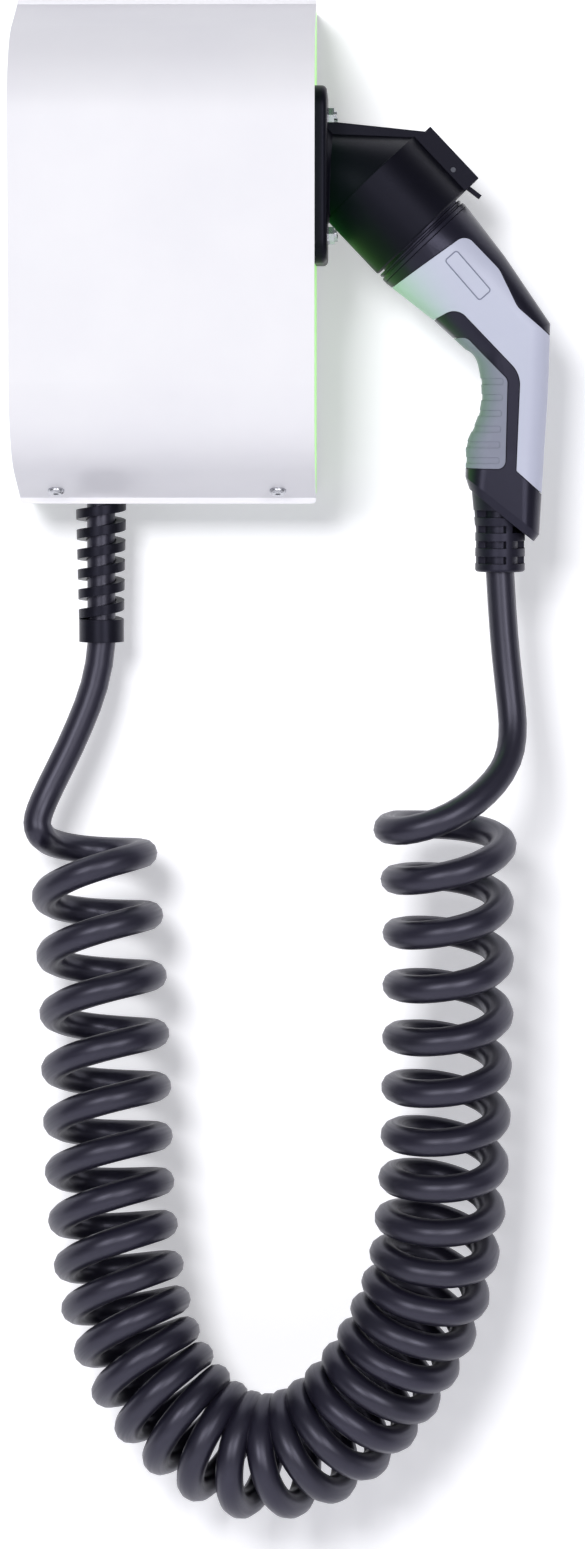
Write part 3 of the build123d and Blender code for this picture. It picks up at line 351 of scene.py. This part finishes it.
# The same blend, darker: painted shade along the raised label frame's edges
CHEEK_PAINTED_SHADE = Finish(
    "polycarbonate_blend_painted_shade_edge",
    "#888ca3",
    "#7f8399",
    Surface.MOULDED,
    roughness=0.5,
    grain_mm=0.6,
    bump_mm=0.015,
    shine=0.4,
)
# Thermoplastic elastomer, moulded on: dull, with the faint dusty sheen of a soft grip
GRIP_GREY = Finish(
    "thermoplastic_elastomer_grey",
    "#8d90a4",
    "#85889a",
    Surface.SOFT_RUBBER,
    roughness=0.6,
    grain_mm=0.5,
    bump_mm=0.02,
    sheen=0.05,
    edge_mm=0.5,
)
# Nylon from a polished mould: a smooth black with a wider highlight
GLAND_BLACK = Finish(
    "nylon_smooth_black",
    "#0d0d13",
    "#12121a",
    Surface.MOULDED,
    roughness=0.34,
    grain_mm=0.8,
    bump_mm=0.01,
    shine=0.28,
    edge_mm=0.6,
    glint=LILAC,
)
# Moulded rubber: black with a soft shine on its rounded ribs
BOOT_RUBBER = Finish(
    "rubber_boot_black",
    "#121119",
    "#181722",
    Surface.SOFT_RUBBER,
    roughness=0.4,
    grain_mm=0.6,
    bump_mm=0.02,
    shine=0.45,
    edge_mm=0.6,
    glint=LILAC,
)
# Polyurethane jacket, extruded: fine scuffs along the lead, drawn at 1.4 mm across so that they show
CABLE_JACKET = Finish(
    "polyurethane_jacket",
    "#191725",
    "#12111c",
    Surface.EXTRUDED,
    roughness=0.38,
    grain_mm=1.4,
    bump_mm=0.08,
    shine=0.85,
    glint="#dcdaf2",
)
# The same jacket on its short ends inside the gland and the boot, where no scuffs show
JACKET_STUB = Finish(
    "polyurethane_jacket_stub",
    "#191725",
    "#12111c",
    Surface.MOULDED,
    roughness=0.38,
    grain_mm=1.4,
    bump_mm=0.02,
    shine=0.85,
    glint="#dcdaf2",
)
# Stainless steel, turned: bright, with a clean highlight
SCREW_STEEL = Finish(
    "stainless_steel_turned",
    "#c0c1c6",
    "#b2b3b9",
    Surface.TURNED_METAL,
    roughness=0.26,
    grain_mm=0.5,
    bump_mm=0.005,
    metallic=1.0,
)
# Blackened steel: dull and dark, so that the pin hardly shows in its boss
PIN_STEEL = Finish(
    "blackened_steel_pin",
    "#55565e",
    "#4c4d55",
    Surface.TURNED_METAL,
    roughness=0.55,
    grain_mm=0.5,
    bump_mm=0.01,
    metallic=1.0,
)
# Zinc-plated sheet, rolled: a grey metal with faint lengthwise grain
ZINC_STEEL = Finish(
    "zinc_plated_sheet",
    "#a7abb0",
    "#989da5",
    Surface.ROLLED_STEEL,
    roughness=0.4,
    grain_mm=0.6,
    bump_mm=0.01,
    metallic=1.0,
)
# Brass, turned: warm and bright
BRASS = Finish(
    "brass_turned",
    "#c9a45a",
    "#b58f47",
    Surface.TURNED_METAL,
    roughness=0.3,
    grain_mm=0.5,
    bump_mm=0.01,
    metallic=1.0,
)
# Polycarbonate, moulded: the light grey of modules on a rail
MODULE_GREY = Finish(
    "polycarbonate_light_grey",
    "#c3c5c9",
    "#b9bbbf",
    Surface.MOULDED,
    roughness=0.45,
    grain_mm=0.7,
    bump_mm=0.02,
)
# Glass epoxy under green lacquer: a smooth board with a clear top layer
BOARD_GREEN = Finish(
    "glass_epoxy_board_green",
    "#1f6b3a",
    "#1a5c31",
    Surface.MOULDED,
    roughness=0.35,
    grain_mm=0.8,
    bump_mm=0.01,
    coat=0.3,
)
# Epoxy, moulded: the dull dark grey of relays and chips
COMPONENT_BLACK = Finish(
    "epoxy_moulded_black",
    "#222226",
    "#2b2b30",
    Surface.MOULDED,
    roughness=0.5,
    grain_mm=0.5,
    bump_mm=0.01,
)
# White lacquered board that throws the lamps' light forward
STRIP_WHITE = Finish(
    "lamp_board_white",
    "#e6e8e4",
    "#dadcd8",
    Surface.MOULDED,
    roughness=0.45,
    grain_mm=0.7,
    bump_mm=0.01,
)


@dataclass(frozen=True)
class GlowFinish:
    """Clear plastic that glows.

    Args:
        name: Common name of the material and how it looks.
        colour: sRGB hex value of the surface.
        tone: sRGB hex value that the colour drifts to.
        glow: sRGB hex value of the light that it gives.
        strength: Strength of the glow.
        roughness: Roughness of the surface.
        ior: Index of refraction of acrylic.
        hazes_per_metre: How many broad patches of haze lie on a metre.
    """

    name: str
    colour: str
    tone: str
    glow: str
    strength: float
    roughness: float = 0.3
    ior: float = 1.49
    hazes_per_metre: float = 40.0

    def material(self) -> bpy.types.Material:
        """Make the material, or give the one made before."""
        made = bpy.data.materials.get(self.name)
        if made:
            return made
        made = bpy.data.materials.new(self.name)
        made.use_nodes = True
        tree = made.node_tree
        shader = tree.nodes["Principled BSDF"]
        shader.inputs["Roughness"].default_value = self.roughness
        shader.inputs["IOR"].default_value = self.ior
        haze = add_node(
            tree,
            "TexNoise",
            values={"Scale": self.hazes_per_metre, "Detail": 2.0},
            links={"Vector": add_node(tree, "TexCoord").outputs["Object"]},
        )
        base = add_node(
            tree,
            "Mix",
            {"data_type": "RGBA"},
            {"A": linear(self.colour), "B": linear(self.tone)},
            {"Factor": haze.outputs["Fac"]},
        )
        tree.links.new(base.outputs["Result"], shader.inputs["Base Color"])
        shader.inputs["Emission Color"].default_value = linear(self.glow)
        shader.inputs["Emission Strength"].default_value = self.strength
        return made


# Opal acrylic sheet, lit from behind by a row of green lamps
OPAL_PANEL = GlowFinish("opal_acrylic_lit", "#d0e8c0", "#c2e2ae", "#7af01c", 0.55)
# Clear epoxy lens over a green lamp
LAMP_GREEN = GlowFinish("lamp_lens_green", "#9dff7c", "#8cf06c", "#4dff3a", 0.8)

NODE_FINISHES: dict[str, Finish | GlowFinish] = {
    "cover": POWDER_WHITE,
    "left_side_panel": OPAL_PANEL,
    "right_side_panel": OPAL_PANEL,
    "back_tray": ZINC_STEEL,
    "rivet_nuts": ZINC_STEEL,
    "din_rail": ZINC_STEEL,
    "board_standoffs": ZINC_STEEL,
    "board_screws": ZINC_STEEL,
    "earth_stud": ZINC_STEEL,
    "holster_backing": ZINC_STEEL,
    "latch_pin": PIN_STEEL,
    "latch_spring": SCREW_STEEL,
    "cover_screws": SCREW_STEEL,
    "holster_bolts": SCREW_STEEL,
    "holster_nuts": SCREW_STEEL,
    "earth_nut": BRASS,
    "contact_sleeves": BRASS,
    "left_light_strip": STRIP_WHITE,
    "right_light_strip": STRIP_WHITE,
    "left_leds": LAMP_GREEN,
    "right_leds": LAMP_GREEN,
    "contactor": MODULE_GREY,
    "residual_current_monitor": MODULE_GREY,
    "energy_meter": MODULE_GREY,
    "power_supply": MODULE_GREY,
    "terminal_block": MODULE_GREY,
    "controller_board": BOARD_GREEN,
    "board_components": COMPONENT_BLACK,
    "holster": HOLSTER_BLACK,
    "latch_lever": HOLSTER_BLACK,
    "plug_shell_front": CONNECTOR_BLACK,
    "plug_shell_rear": CONNECTOR_BLACK,
    "plug_collar": CONNECTOR_BLACK,
    "plug_nose": CONNECTOR_BLACK,
    "contact_carrier": CONNECTOR_BLACK,
    "cable_clamp": COMPONENT_BLACK,
    "gland_body": GLAND_BLACK,
    "gland_lock_nut": GLAND_BLACK,
    "bend_guard": GLAND_BLACK,
    "plug_cheek_front": CHEEK_GREY,
    "plug_cheek_rear": CHEEK_GREY,
    "plug_grip_front": GRIP_GREY,
    "plug_grip_rear": GRIP_GREY,
    "gland_seal": BOOT_RUBBER,
    "supply_grommet": BOOT_RUBBER,
    "plug_boot": BOOT_RUBBER,
    "cable_sheath": JACKET_STUB,
    "plug_sheath": JACKET_STUB,
}


def dress(obj: bpy.types.Object, finish: Finish | GlowFinish) -> None:
    """Give an object one finish in all its material slots.

    Args:
        obj: Object with material slots.
        finish: Finish that it gets.
    """
    obj.data.materials.clear()
    obj.data.materials.append(finish.material())


def route_curve(name: str, points: list[Vector], steps: int) -> bpy.types.Object:
    """Make a smooth open curve with the points as its control points.

    Args:
        name: Name of the curve.
        points: Control points in metres.
        steps: Steps of the curve between two control points.

    Returns:
        The curve object, linked to the scene.
    """
    data = bpy.data.curves.new(name, "CURVE")
    data.dimensions = "3D"
    data.resolution_u = steps
    spline = data.splines.new("NURBS")
    spline.points.add(len(points) - 1)
    for point, place in zip(spline.points, points):
        point.co = (*place, 1.0)
    spline.order_u = 3
    spline.use_endpoint_u = True
    obj = bpy.data.objects.new(name, data)
    bpy.context.scene.collection.objects.link(obj)
    return obj


def curve_line(curve: bpy.types.Object) -> list[Vector]:
    """Read the points along a bare curve and delete it.

    Args:
        curve: Curve object without a bevel.

    Returns:
        The points in metres.
    """
    bpy.context.view_layer.update()
    mesh = bpy.data.meshes.new_from_object(curve)
    line = [vertex.co.copy() for vertex in mesh.vertices]
    bpy.data.objects.remove(curve)
    return line


@dataclass(frozen=True)
class CurlyLead:
    """Lead that leaves the gland, hangs in a curly U and ends in the connector's boot.

    Args:
        diameter: Outer diameter of the jacket in metres.
        turns: Number of turns.
        points_per_turn: Control points on each turn.
        shares: Steps in which the way along the coil is measured.
        gland_route: Points from the gland to the first turn, in metres.
        coil_route: Centre line of the coil, in metres.
        plug_route: Points from the boot to the last turn, in metres.
        pitch_steps: Pitch of the turns in mm by share of the way.
        radius_steps: Radius of the turns in mm by share of the way.
        lean_steps: Lean of each turn in mm, on the outer side of the U, by share of the way.
        tip_steps: Tip of each turn in mm, on the side of the wall, by share of the way.
    """

    diameter: float = 16.5 * MM
    turns: float = 32.5
    points_per_turn: int = 16
    shares: int = 2000
    gland_route: tuple[tuple[float, float, float], ...] = (
        (-0.0401, -0.035, -0.227),
        (-0.0415, -0.0352, -0.247),
        (-0.0555, -0.0385, -0.283),
        (-0.0735, -0.0425, -0.3185),
        (-0.0785, -0.0465, -0.3325),
    )
    coil_route: tuple[tuple[float, float, float], ...] = (
        (-0.0465, -0.048, -0.335),
        (-0.04, -0.049, -0.4),
        (-0.037, -0.05, -0.5),
        (-0.035, -0.052, -0.57),
        (-0.022, -0.054, -0.645),
        (0.012, -0.057, -0.694),
        (0.052, -0.06, -0.713),
        (0.092, -0.063, -0.7),
        (0.128, -0.066, -0.66),
        (0.154, -0.069, -0.605),
        (0.1615, -0.072, -0.545),
        (0.163, -0.074, -0.478),
        (0.164, -0.076, -0.4),
        (0.1625, -0.077, -0.328),
    )
    # From the boot down, then round the front of the coil to its topmost turn
    plug_route: tuple[tuple[float, float, float], ...] = (
        (0.193, -0.065, -0.1842),
        (0.195, -0.0655, -0.218),
        (0.1985, -0.067, -0.25),
        (0.2015, -0.072, -0.277),
        (0.197, -0.083, -0.2965),
        (0.182, -0.0985, -0.3125),
        (0.161, -0.108, -0.325),
        (0.139, -0.105, -0.3315),
        (0.1265, -0.09, -0.3325),
    )
    # The coil's own weight opens the upper turns
    pitch_steps: tuple[tuple[float, float], ...] = (
        (0.0, 42.0),
        (0.05, 36.0),
        (0.13, 35.0),
        (0.17, 32.0),
        (0.25, 28.2),
        (0.35, 23.5),
        (0.43, 20.5),
        (0.57, 20.0),
        (0.65, 20.5),
        (0.72, 25.5),
        (0.84, 31.0),
        (1.0, 34.0),
    )
    radius_steps: tuple[tuple[float, float], ...] = (
        (0.0, 30.0),
        (0.05, 30.6),
        (0.3, 30.6),
        (0.45, 30.0),
        (0.55, 30.0),
        (0.95, 30.8),
        (1.0, 34.0),
    )
    lean_steps: tuple[tuple[float, float], ...] = (
        (0.0, 1.5),
        (0.12, 1.6),
        (0.25, 3.2),
        (0.5, 0.0),
        (0.65, -1.0),
        (0.75, -1.0),
        (0.9, 0.0),
        (1.0, 2.0),
    )
    tip_steps: tuple[tuple[float, float], ...] = (
        (0.0, 7.0),
        (0.3, 7.0),
        (0.6, 4.0),
        (0.97, 3.5),
        (1.0, 0.0),
    )

    @staticmethod
    def between(steps: tuple[tuple[float, float], ...], share: float) -> float:
        """Read a value between the given steps.

        Args:
            steps: Values by share of the way, in order.
            share: Share of the way.

        Returns:
            The value at that share.
        """
        for (low, first), (high, last) in zip(steps, steps[1:]):
            if share <= high:
                return first + (last - first) * (share - low) / (high - low)
        return steps[-1][1]

    def wind(self) -> list[tuple[float, float]]:
        """Work out where the control points of the turns lie.

        Returns:
            The share of the way and the turns wound so far, for each control point.
        """
        rates = [1 / self.between(self.pitch_steps, i / self.shares) for i in range(self.shares + 1)]
        whole = sum(rates)
        marks: list[tuple[float, float]] = []
        wound = 0.0
        for i, rate in enumerate(rates):
            turn = wound / whole * self.turns
            wound += rate
            if turn * self.points_per_turn >= len(marks):
                marks.append((i / self.shares, turn))
        return marks

    def on_turn(self, centre: Vector, ahead: Vector, share: float, turn: float) -> Vector:
        """Work out one point of a turn.

        Args:
            centre: Point on the coil's centre line.
            ahead: Direction of the centre line there.
            share: Share of the way along the coil.
            turn: Turns wound so far.

        Returns:
            The point in metres.
        """
        outer = Vector((0.0, 1.0, 0.0)).cross(ahead).normalized()
        back = ahead.cross(outer)
        angle = 2 * math.pi * turn
        radius = self.between(self.radius_steps, share) * MM
        lean = self.between(self.lean_steps, share) * MM * math.cos(angle)
        tip = self.between(self.tip_steps, share) * MM * math.sin(angle)
        place = centre + outer * (radius * math.cos(angle))
        place += back * (radius * math.sin(angle)) + ahead * (lean + tip)
        return place

    def helix(self) -> list[Vector]:
        """Work out the turns round the coil's smooth centre line.

        Returns:
            The control points in metres.
        """
        line = curve_line(route_curve("coil_guide", [Vector(point) for point in self.coil_route], 24))
        reach = [0.0]
        for first, last in zip(line, line[1:]):
            reach.append(reach[-1] + (last - first).length)
        points: list[Vector] = []
        index = 0
        for share, turn in self.wind():
            way = share * reach[-1]
            while index < len(line) - 2 and reach[index + 1] < way:
                index += 1
            run = (way - reach[index]) / (reach[index + 1] - reach[index])
            centre = line[index].lerp(line[index + 1], run)
            # The direction comes from a few points round this one, so that it changes evenly
            ahead = line[min(index + 3, len(line) - 1)] - line[max(index - 2, 0)]
            points.append(self.on_turn(centre, ahead.normalized(), share, turn))
        LOG.info("helix with %d points for %.1f turns", len(points), self.turns)
        return points

    def build(self) -> bpy.types.Object:
        """Returns:
            The lead.
        """
        points = [Vector(point) for point in self.gland_route]
        points += self.helix()
        points += [Vector(point) for point in reversed(self.plug_route)]
        lead = route_curve("curly_lead", points, 3)
        lead.data.bevel_depth = self.diameter / 2
        lead.data.bevel_resolution = 4
        dress(lead, CABLE_JACKET)
        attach(lead, BODY)
        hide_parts("wallbox_lead", "lead_coil", "plug_lead")
        return lead

    def length_of(self, lead: bpy.types.Object) -> float:
        """Measure the lead's own line.

        Args:
            lead: The lead.

        Returns:
            Its length in metres.
        """
        bare = lead.copy()
        bare.data = lead.data.copy()
        bare.data.bevel_depth = 0.0
        bpy.context.scene.collection.objects.link(bare)
        line = curve_line(bare)
        return sum((last - first).length for first, last in zip(line, line[1:]))

    def declare(self, lead: bpy.types.Object) -> None:
        """Args:
            lead: The lead.
        """
        length = self.length_of(lead)
        LOG.info("lead is %.3f m long", length)


@dataclass(frozen=True)
class LabelFrame:
    """Bare raised frame with rounded corners on the front cheek.

    Args:
        centre: X and Z of its middle in metres.
        length: Outer length.
        width: Outer width.
        corner: Radius of the corners.
        slant: Turn about the view direction in degrees.
        bead: Width of the bead.
        height: Height of the bead.
        corner_steps: Steps round each corner.
        side_steps: Steps along each side.
        ray_start: Y in front of the cheek from which the skin is looked for.
        section: Cross-section of the bead from foot to foot, as shares of half its width and of its height.
    """

    centre: tuple[float, float] = (0.1732, -0.0143)
    length: float = 30.0 * MM
    width: float = 8.8 * MM
    corner: float = 1.6 * MM
    slant: float = -48.7
    bead: float = 0.8 * MM
    height: float = 0.3 * MM
    corner_steps: int = 6
    side_steps: int = 24
    ray_start: float = -0.2
    section: tuple[tuple[float, float], ...] = (
        (-1.0, -0.4),
        (-0.8, 0.6),
        (-0.3, 1.0),
        (0.3, 1.0),
        (0.8, 0.6),
        (1.0, -0.4),
    )

    def outline(self) -> list[tuple[Vector, Vector]]:
        """Work out the rounded outline in the frame's own plane.

        Returns:
            The points, each with its outward direction.
        """
        half = (self.length / 2 - self.corner, self.width / 2 - self.corner)
        corners = [(half[0], half[1]), (-half[0], half[1]), (-half[0], -half[1]), (half[0], -half[1])]
        points = []
        for quarter, corner in enumerate(corners):
            for step in range(self.corner_steps + 1):
                angle = math.pi / 2 * (quarter + step / self.corner_steps)
                way = Vector((math.cos(angle), math.sin(angle)))
                points.append((Vector(corner) + way * self.corner, way))
            last, way = points[-1]
            first = Vector(corners[(quarter + 1) % 4]) + way * self.corner
            sides = range(1, self.side_steps)
            points += [(last.lerp(first, step / self.side_steps), way) for step in sides]
        return points

    def rings(self, cheek: bpy.types.Object, grid: bmesh.types.BMesh) -> list[list[bmesh.types.BMVert]]:
        """Lay the cross-section of the bead on the cheek's skin at each point of the outline.

        Args:
            cheek: The front cheek that the frame stands on.
            grid: Mesh that the points join.

        Returns:
            One row of points for each cross-section.
        """
        turn = Matrix.Rotation(math.radians(self.slant), 2)
        inverse = cheek.matrix_world.inverted()
        ahead = (inverse.to_3x3() @ Vector((0.0, 1.0, 0.0))).normalized()
        rings = []
        for point, way in self.outline():
            ring = []
            for across, rise in self.section:
                flat = turn @ (point + way * across * self.bead / 2)
                start = Vector((self.centre[0] + flat.x, self.ray_start, self.centre[1] + flat.y))
                hit, place, _, _ = cheek.ray_cast(inverse @ start, ahead)
                if not hit:
                    raise RuntimeError("the label frame leaves the cheek")
                skin = cheek.matrix_world @ place
                ring.append(grid.verts.new(skin - Vector((0.0, rise * self.height, 0.0))))
            rings.append(ring)
        return rings

    def build(self, cheek: bpy.types.Object) -> bpy.types.Object:
        """Build the bead on the cheek's own surface.

        Args:
            cheek: The front cheek that the frame stands on.

        Returns:
            The frame, attached to the wallbox body.
        """
        grid = bmesh.new()
        rings = self.rings(cheek, grid)
        for ring, following in zip(rings, rings[1:] + rings[:1]):
            for side in range(len(self.section) - 1):
                grid.faces.new((ring[side], ring[side + 1], following[side + 1], following[side]))
            grid.faces.new((ring[-1], ring[0], following[0], following[-1]))
        bmesh.ops.recalc_face_normals(grid, faces=grid.faces)
        mesh = bpy.data.meshes.new("label_frame")
        grid.to_mesh(mesh)
        grid.free()
        for face in mesh.polygons:
            face.use_smooth = True
        frame = bpy.data.objects.new("label_frame", mesh)
        bpy.context.scene.collection.objects.link(frame)
        # The frame's darker grey is painted shade along its edges
        dress(frame, CHEEK_PAINTED_SHADE)
        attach(frame, BODY)
        return frame


class Reach(Enum):
    """What a light falls on."""

    OBJECT = "EXCLUDE"
    PAPER = "INCLUDE"


def reach_only(source: bpy.types.Object, sheet: bpy.types.Object, reach: Reach) -> None:
    """Let a light fall on the paper alone, or on all but the paper.

    Args:
        source: Lamp or glowing object.
        sheet: The paper.
        reach: What the light falls on.
    """
    linked = bpy.data.collections.new(source.name + "_reach")
    linked.objects.link(sheet)
    linked.collection_objects[0].light_linking.link_state = reach.value
    source.light_linking.receiver_collection = linked


@dataclass(frozen=True)
class SoftLight:
    """Rectangular area light that is aimed at a point.

    Args:
        name: Name of the light.
        place: Centre in metres.
        size: Width and height in metres.
        power: Power in watts.
        reach: What it falls on.
        aim: Point that it faces, in metres.
        colour: sRGB hex value.
    """

    name: str
    place: tuple[float, float, float]
    size: tuple[float, float]
    power: float
    reach: Reach
    aim: tuple[float, float, float] = (0.05, 0.0, -0.25)
    colour: str = "#fffffe"

    def hang(self, sheet: bpy.types.Object) -> None:
        """Put the light up, turn it to its aim and set what it falls on.

        Args:
            sheet: The paper.
        """
        data = bpy.data.lights.new(self.name, "AREA")
        data.shape = "RECTANGLE"
        data.size, data.size_y = self.size
        data.energy = self.power
        data.color = linear(self.colour)[:3]
        lamp = bpy.data.objects.new(self.name, data)
        lamp.location = self.place
        toward = Vector(self.aim) - Vector(self.place)
        lamp.rotation_euler = toward.to_track_quat("-Z", "Y").to_euler()
        bpy.context.scene.collection.objects.link(lamp)
        reach_only(lamp, sheet, self.reach)


@dataclass(frozen=True)
class Studio:
    """Plain backdrop, soft lights and the camera.

    Args:
        camera_place: Place of the camera in metres.
        pitch: Degrees that the camera looks down.
        yaw: Degrees that the camera is turned about the vertical.
        focal_px: Focal length in pixels of the photograph.
        long_side_px: Height of the photograph in pixels.
        sky: Strength of the even light from all round.
        sky_colour: sRGB hex value of that light.
        paper_tone: sRGB hex value of the paper.
        paper_white: sRGB hex value of the brightness that the paper keeps in shadow.
        paper_floor: Share of the paper's brightness that shadows can't take away in the camera's view.
        half_width: Half the width of the paper.
        wall_gap: How far the paper stands behind the object.
        wall_top: Height of the paper's upper edge.
        floor: Height of the floor.
        bend: Radius at which the wall turns into the floor.
        floor_end: Y of the paper's front edge.
        lights: The lamps.
    """

    camera_place: tuple[float, float, float] = (0.1175, -2.578, -0.065)
    pitch: float = 5.4
    yaw: float = 1.02
    focal_px: float = 4333.0
    long_side_px: float = 1549.0
    sky: float = 0.22
    sky_colour: str = "#f4f5ff"
    paper_tone: str = "#e6e6ea"
    paper_white: str = "#fdfdff"
    paper_floor: float = 0.4
    half_width: float = 3.0
    wall_gap: float = 0.6 * MM
    wall_top: float = 1.6
    floor: float = -1.4
    bend: float = 0.25
    floor_end: float = -4.5
    lights: tuple[SoftLight, ...] = (
        SoftLight("paper_light", (-0.55, -2.6, 0.8), (0.8, 0.8), 68.0, Reach.PAPER),
        SoftLight("key", (-0.75, -2.5, 0.3), (1.2, 1.2), 24.0, Reach.OBJECT),
        SoftLight("second_key", (1.0, -2.4, 0.2), (1.2, 1.2), 24.0, Reach.OBJECT),
        SoftLight("low", (0.3, -1.9, -1.8), (1.6, 0.8), 21.0, Reach.OBJECT),
        SoftLight(
            "panel_light",
            (0.094, -0.066, -0.03),
            (0.1, 0.26),
            0.03,
            Reach.OBJECT,
            aim=(1.0, -0.066, -0.03),
            colour="#2fe03a",
        ),
    )

    def camera(self) -> None:
        """Set the camera at the photograph's place and angle."""
        data = bpy.data.cameras.new("view_camera")
        data.sensor_width = 36.0
        data.lens = self.focal_px / self.long_side_px * data.sensor_width
        data.clip_start = 0.05
        data.clip_end = 30.0
        camera = bpy.data.objects.new("view_camera", data)
        turn = Matrix.Rotation(math.radians(self.yaw), 4, "Z")
        tip = Matrix.Rotation(math.radians(90 - self.pitch), 4, "X")
        camera.matrix_world = Matrix.Translation(self.camera_place) @ turn @ tip
        bpy.context.scene.collection.objects.link(camera)
        bpy.context.scene.camera = camera

    def paper(self) -> bpy.types.Material:
        """Make the paper: plain to the light, white with soft shadows to the eye, clear from behind.

        Returns:
            The material.
        """
        material = bpy.data.materials.new("pale_paper")
        material.use_nodes = True
        tree = material.node_tree
        plain = tree.nodes["Principled BSDF"]
        plain.inputs["Base Color"].default_value = linear(self.paper_tone)
        plain.inputs["Roughness"].default_value = 0.9
        plain.inputs["Specular IOR Level"].default_value = 0.0
        rays = add_node(tree, "LightPath").outputs
        larger = {"operation": "MAXIMUM"}
        eye = add_node(tree, "Math", larger, links={0: rays["Is Camera Ray"], 1: rays["Is Glossy Ray"]})
        seen = add_node(tree, "Math", larger, links={0: eye.outputs[0], 1: rays["Is Transmission Ray"]})
        glow = add_node(
            tree, "Emission", values={"Color": linear(self.paper_white), "Strength": self.paper_floor}
        )
        shaded = add_node(tree, "BsdfDiffuse", values={"Color": linear(self.paper_tone)})
        white = add_node(tree, "AddShader", links={0: glow.outputs[0], 1: shaded.outputs[0]})
        front = add_node(
            tree,
            "MixShader",
            links={0: seen.outputs[0], 1: plain.outputs["BSDF"], 2: white.outputs[0]},
        )
        clear = add_node(tree, "BsdfTransparent")
        side = add_node(tree, "NewGeometry").outputs["Backfacing"]
        mix = add_node(
            tree, "MixShader", links={0: side, 1: front.outputs[0], 2: clear.outputs["BSDF"]}
        )
        tree.links.new(mix.outputs["Shader"], tree.nodes["Material Output"].inputs["Surface"])
        return material

    def backdrop(self) -> bpy.types.Object:
        """Build a pale wall and floor in one sheet that shows from the front only.

        Returns:
            The sheet.
        """
        bend_top = self.floor + self.bend
        profile = [(self.wall_gap, self.wall_top), (self.wall_gap, bend_top)]
        for angle in (0.4, 0.8, 1.2):
            y = -self.bend + (self.bend + self.wall_gap) * math.cos(angle)
            profile.append((y, bend_top - self.bend * math.sin(angle)))
        profile += [(-self.bend, self.floor), (self.floor_end, self.floor)]
        mesh = bpy.data.meshes.new("backdrop")
        grid = bmesh.new()
        rows = [
            [grid.verts.new((x, y, z)) for x in (-self.half_width, self.half_width)] for y, z in profile
        ]
        for upper, lower in zip(rows, rows[1:]):
            grid.faces.new((upper[0], lower[0], lower[1], upper[1]))
        grid.to_mesh(mesh)
        grid.free()
        sheet = bpy.data.objects.new("backdrop", mesh)
        bpy.context.scene.collection.objects.link(sheet)
        mesh.materials.append(self.paper())
        return sheet

    def light(self, sheet: bpy.types.Object) -> None:
        """Hang the soft lights and set the even sky.

        Args:
            sheet: The paper.
        """
        for light in self.lights:
            light.hang(sheet)
        world = bpy.data.worlds.new("even_sky")
        world.use_nodes = True
        sky = world.node_tree.nodes["Background"]
        sky.inputs["Color"].default_value = linear(self.sky_colour)
        sky.inputs["Strength"].default_value = self.sky
        bpy.context.scene.world = world

    def build(self, glowing: list[bpy.types.Object]) -> None:
        """Build the camera, the backdrop and the lights, and keep the panels' glow off the paper.

        Args:
            glowing: Objects that glow.
        """
        self.camera()
        sheet = self.backdrop()
        self.light(sheet)
        for panel in glowing:
            reach_only(panel, sheet, Reach.OBJECT)
        bpy.context.scene.view_settings.view_transform = "Standard"


def main() -> None:
    """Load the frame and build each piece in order."""
    logging.basicConfig(level=logging.INFO, format="%(name)s: %(message)s")
    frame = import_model()
    nodes = frame["nodes"]
    Studio().build([nodes["left_side_panel"], nodes["right_side_panel"]])
    LOG.info("studio built")
    lead_maker = CurlyLead()
    lead = lead_maker.build()
    LOG.info("curly lead built")
    for name, finish in NODE_FINISHES.items():
        dress(nodes[name], finish)
    LOG.info("%d nodes dressed", len(NODE_FINISHES))
    lead_maker.declare(lead)
    LabelFrame().build(nodes["plug_cheek_front"])
    LOG.info("label frame built")


if __name__ == "__main__":
    main()
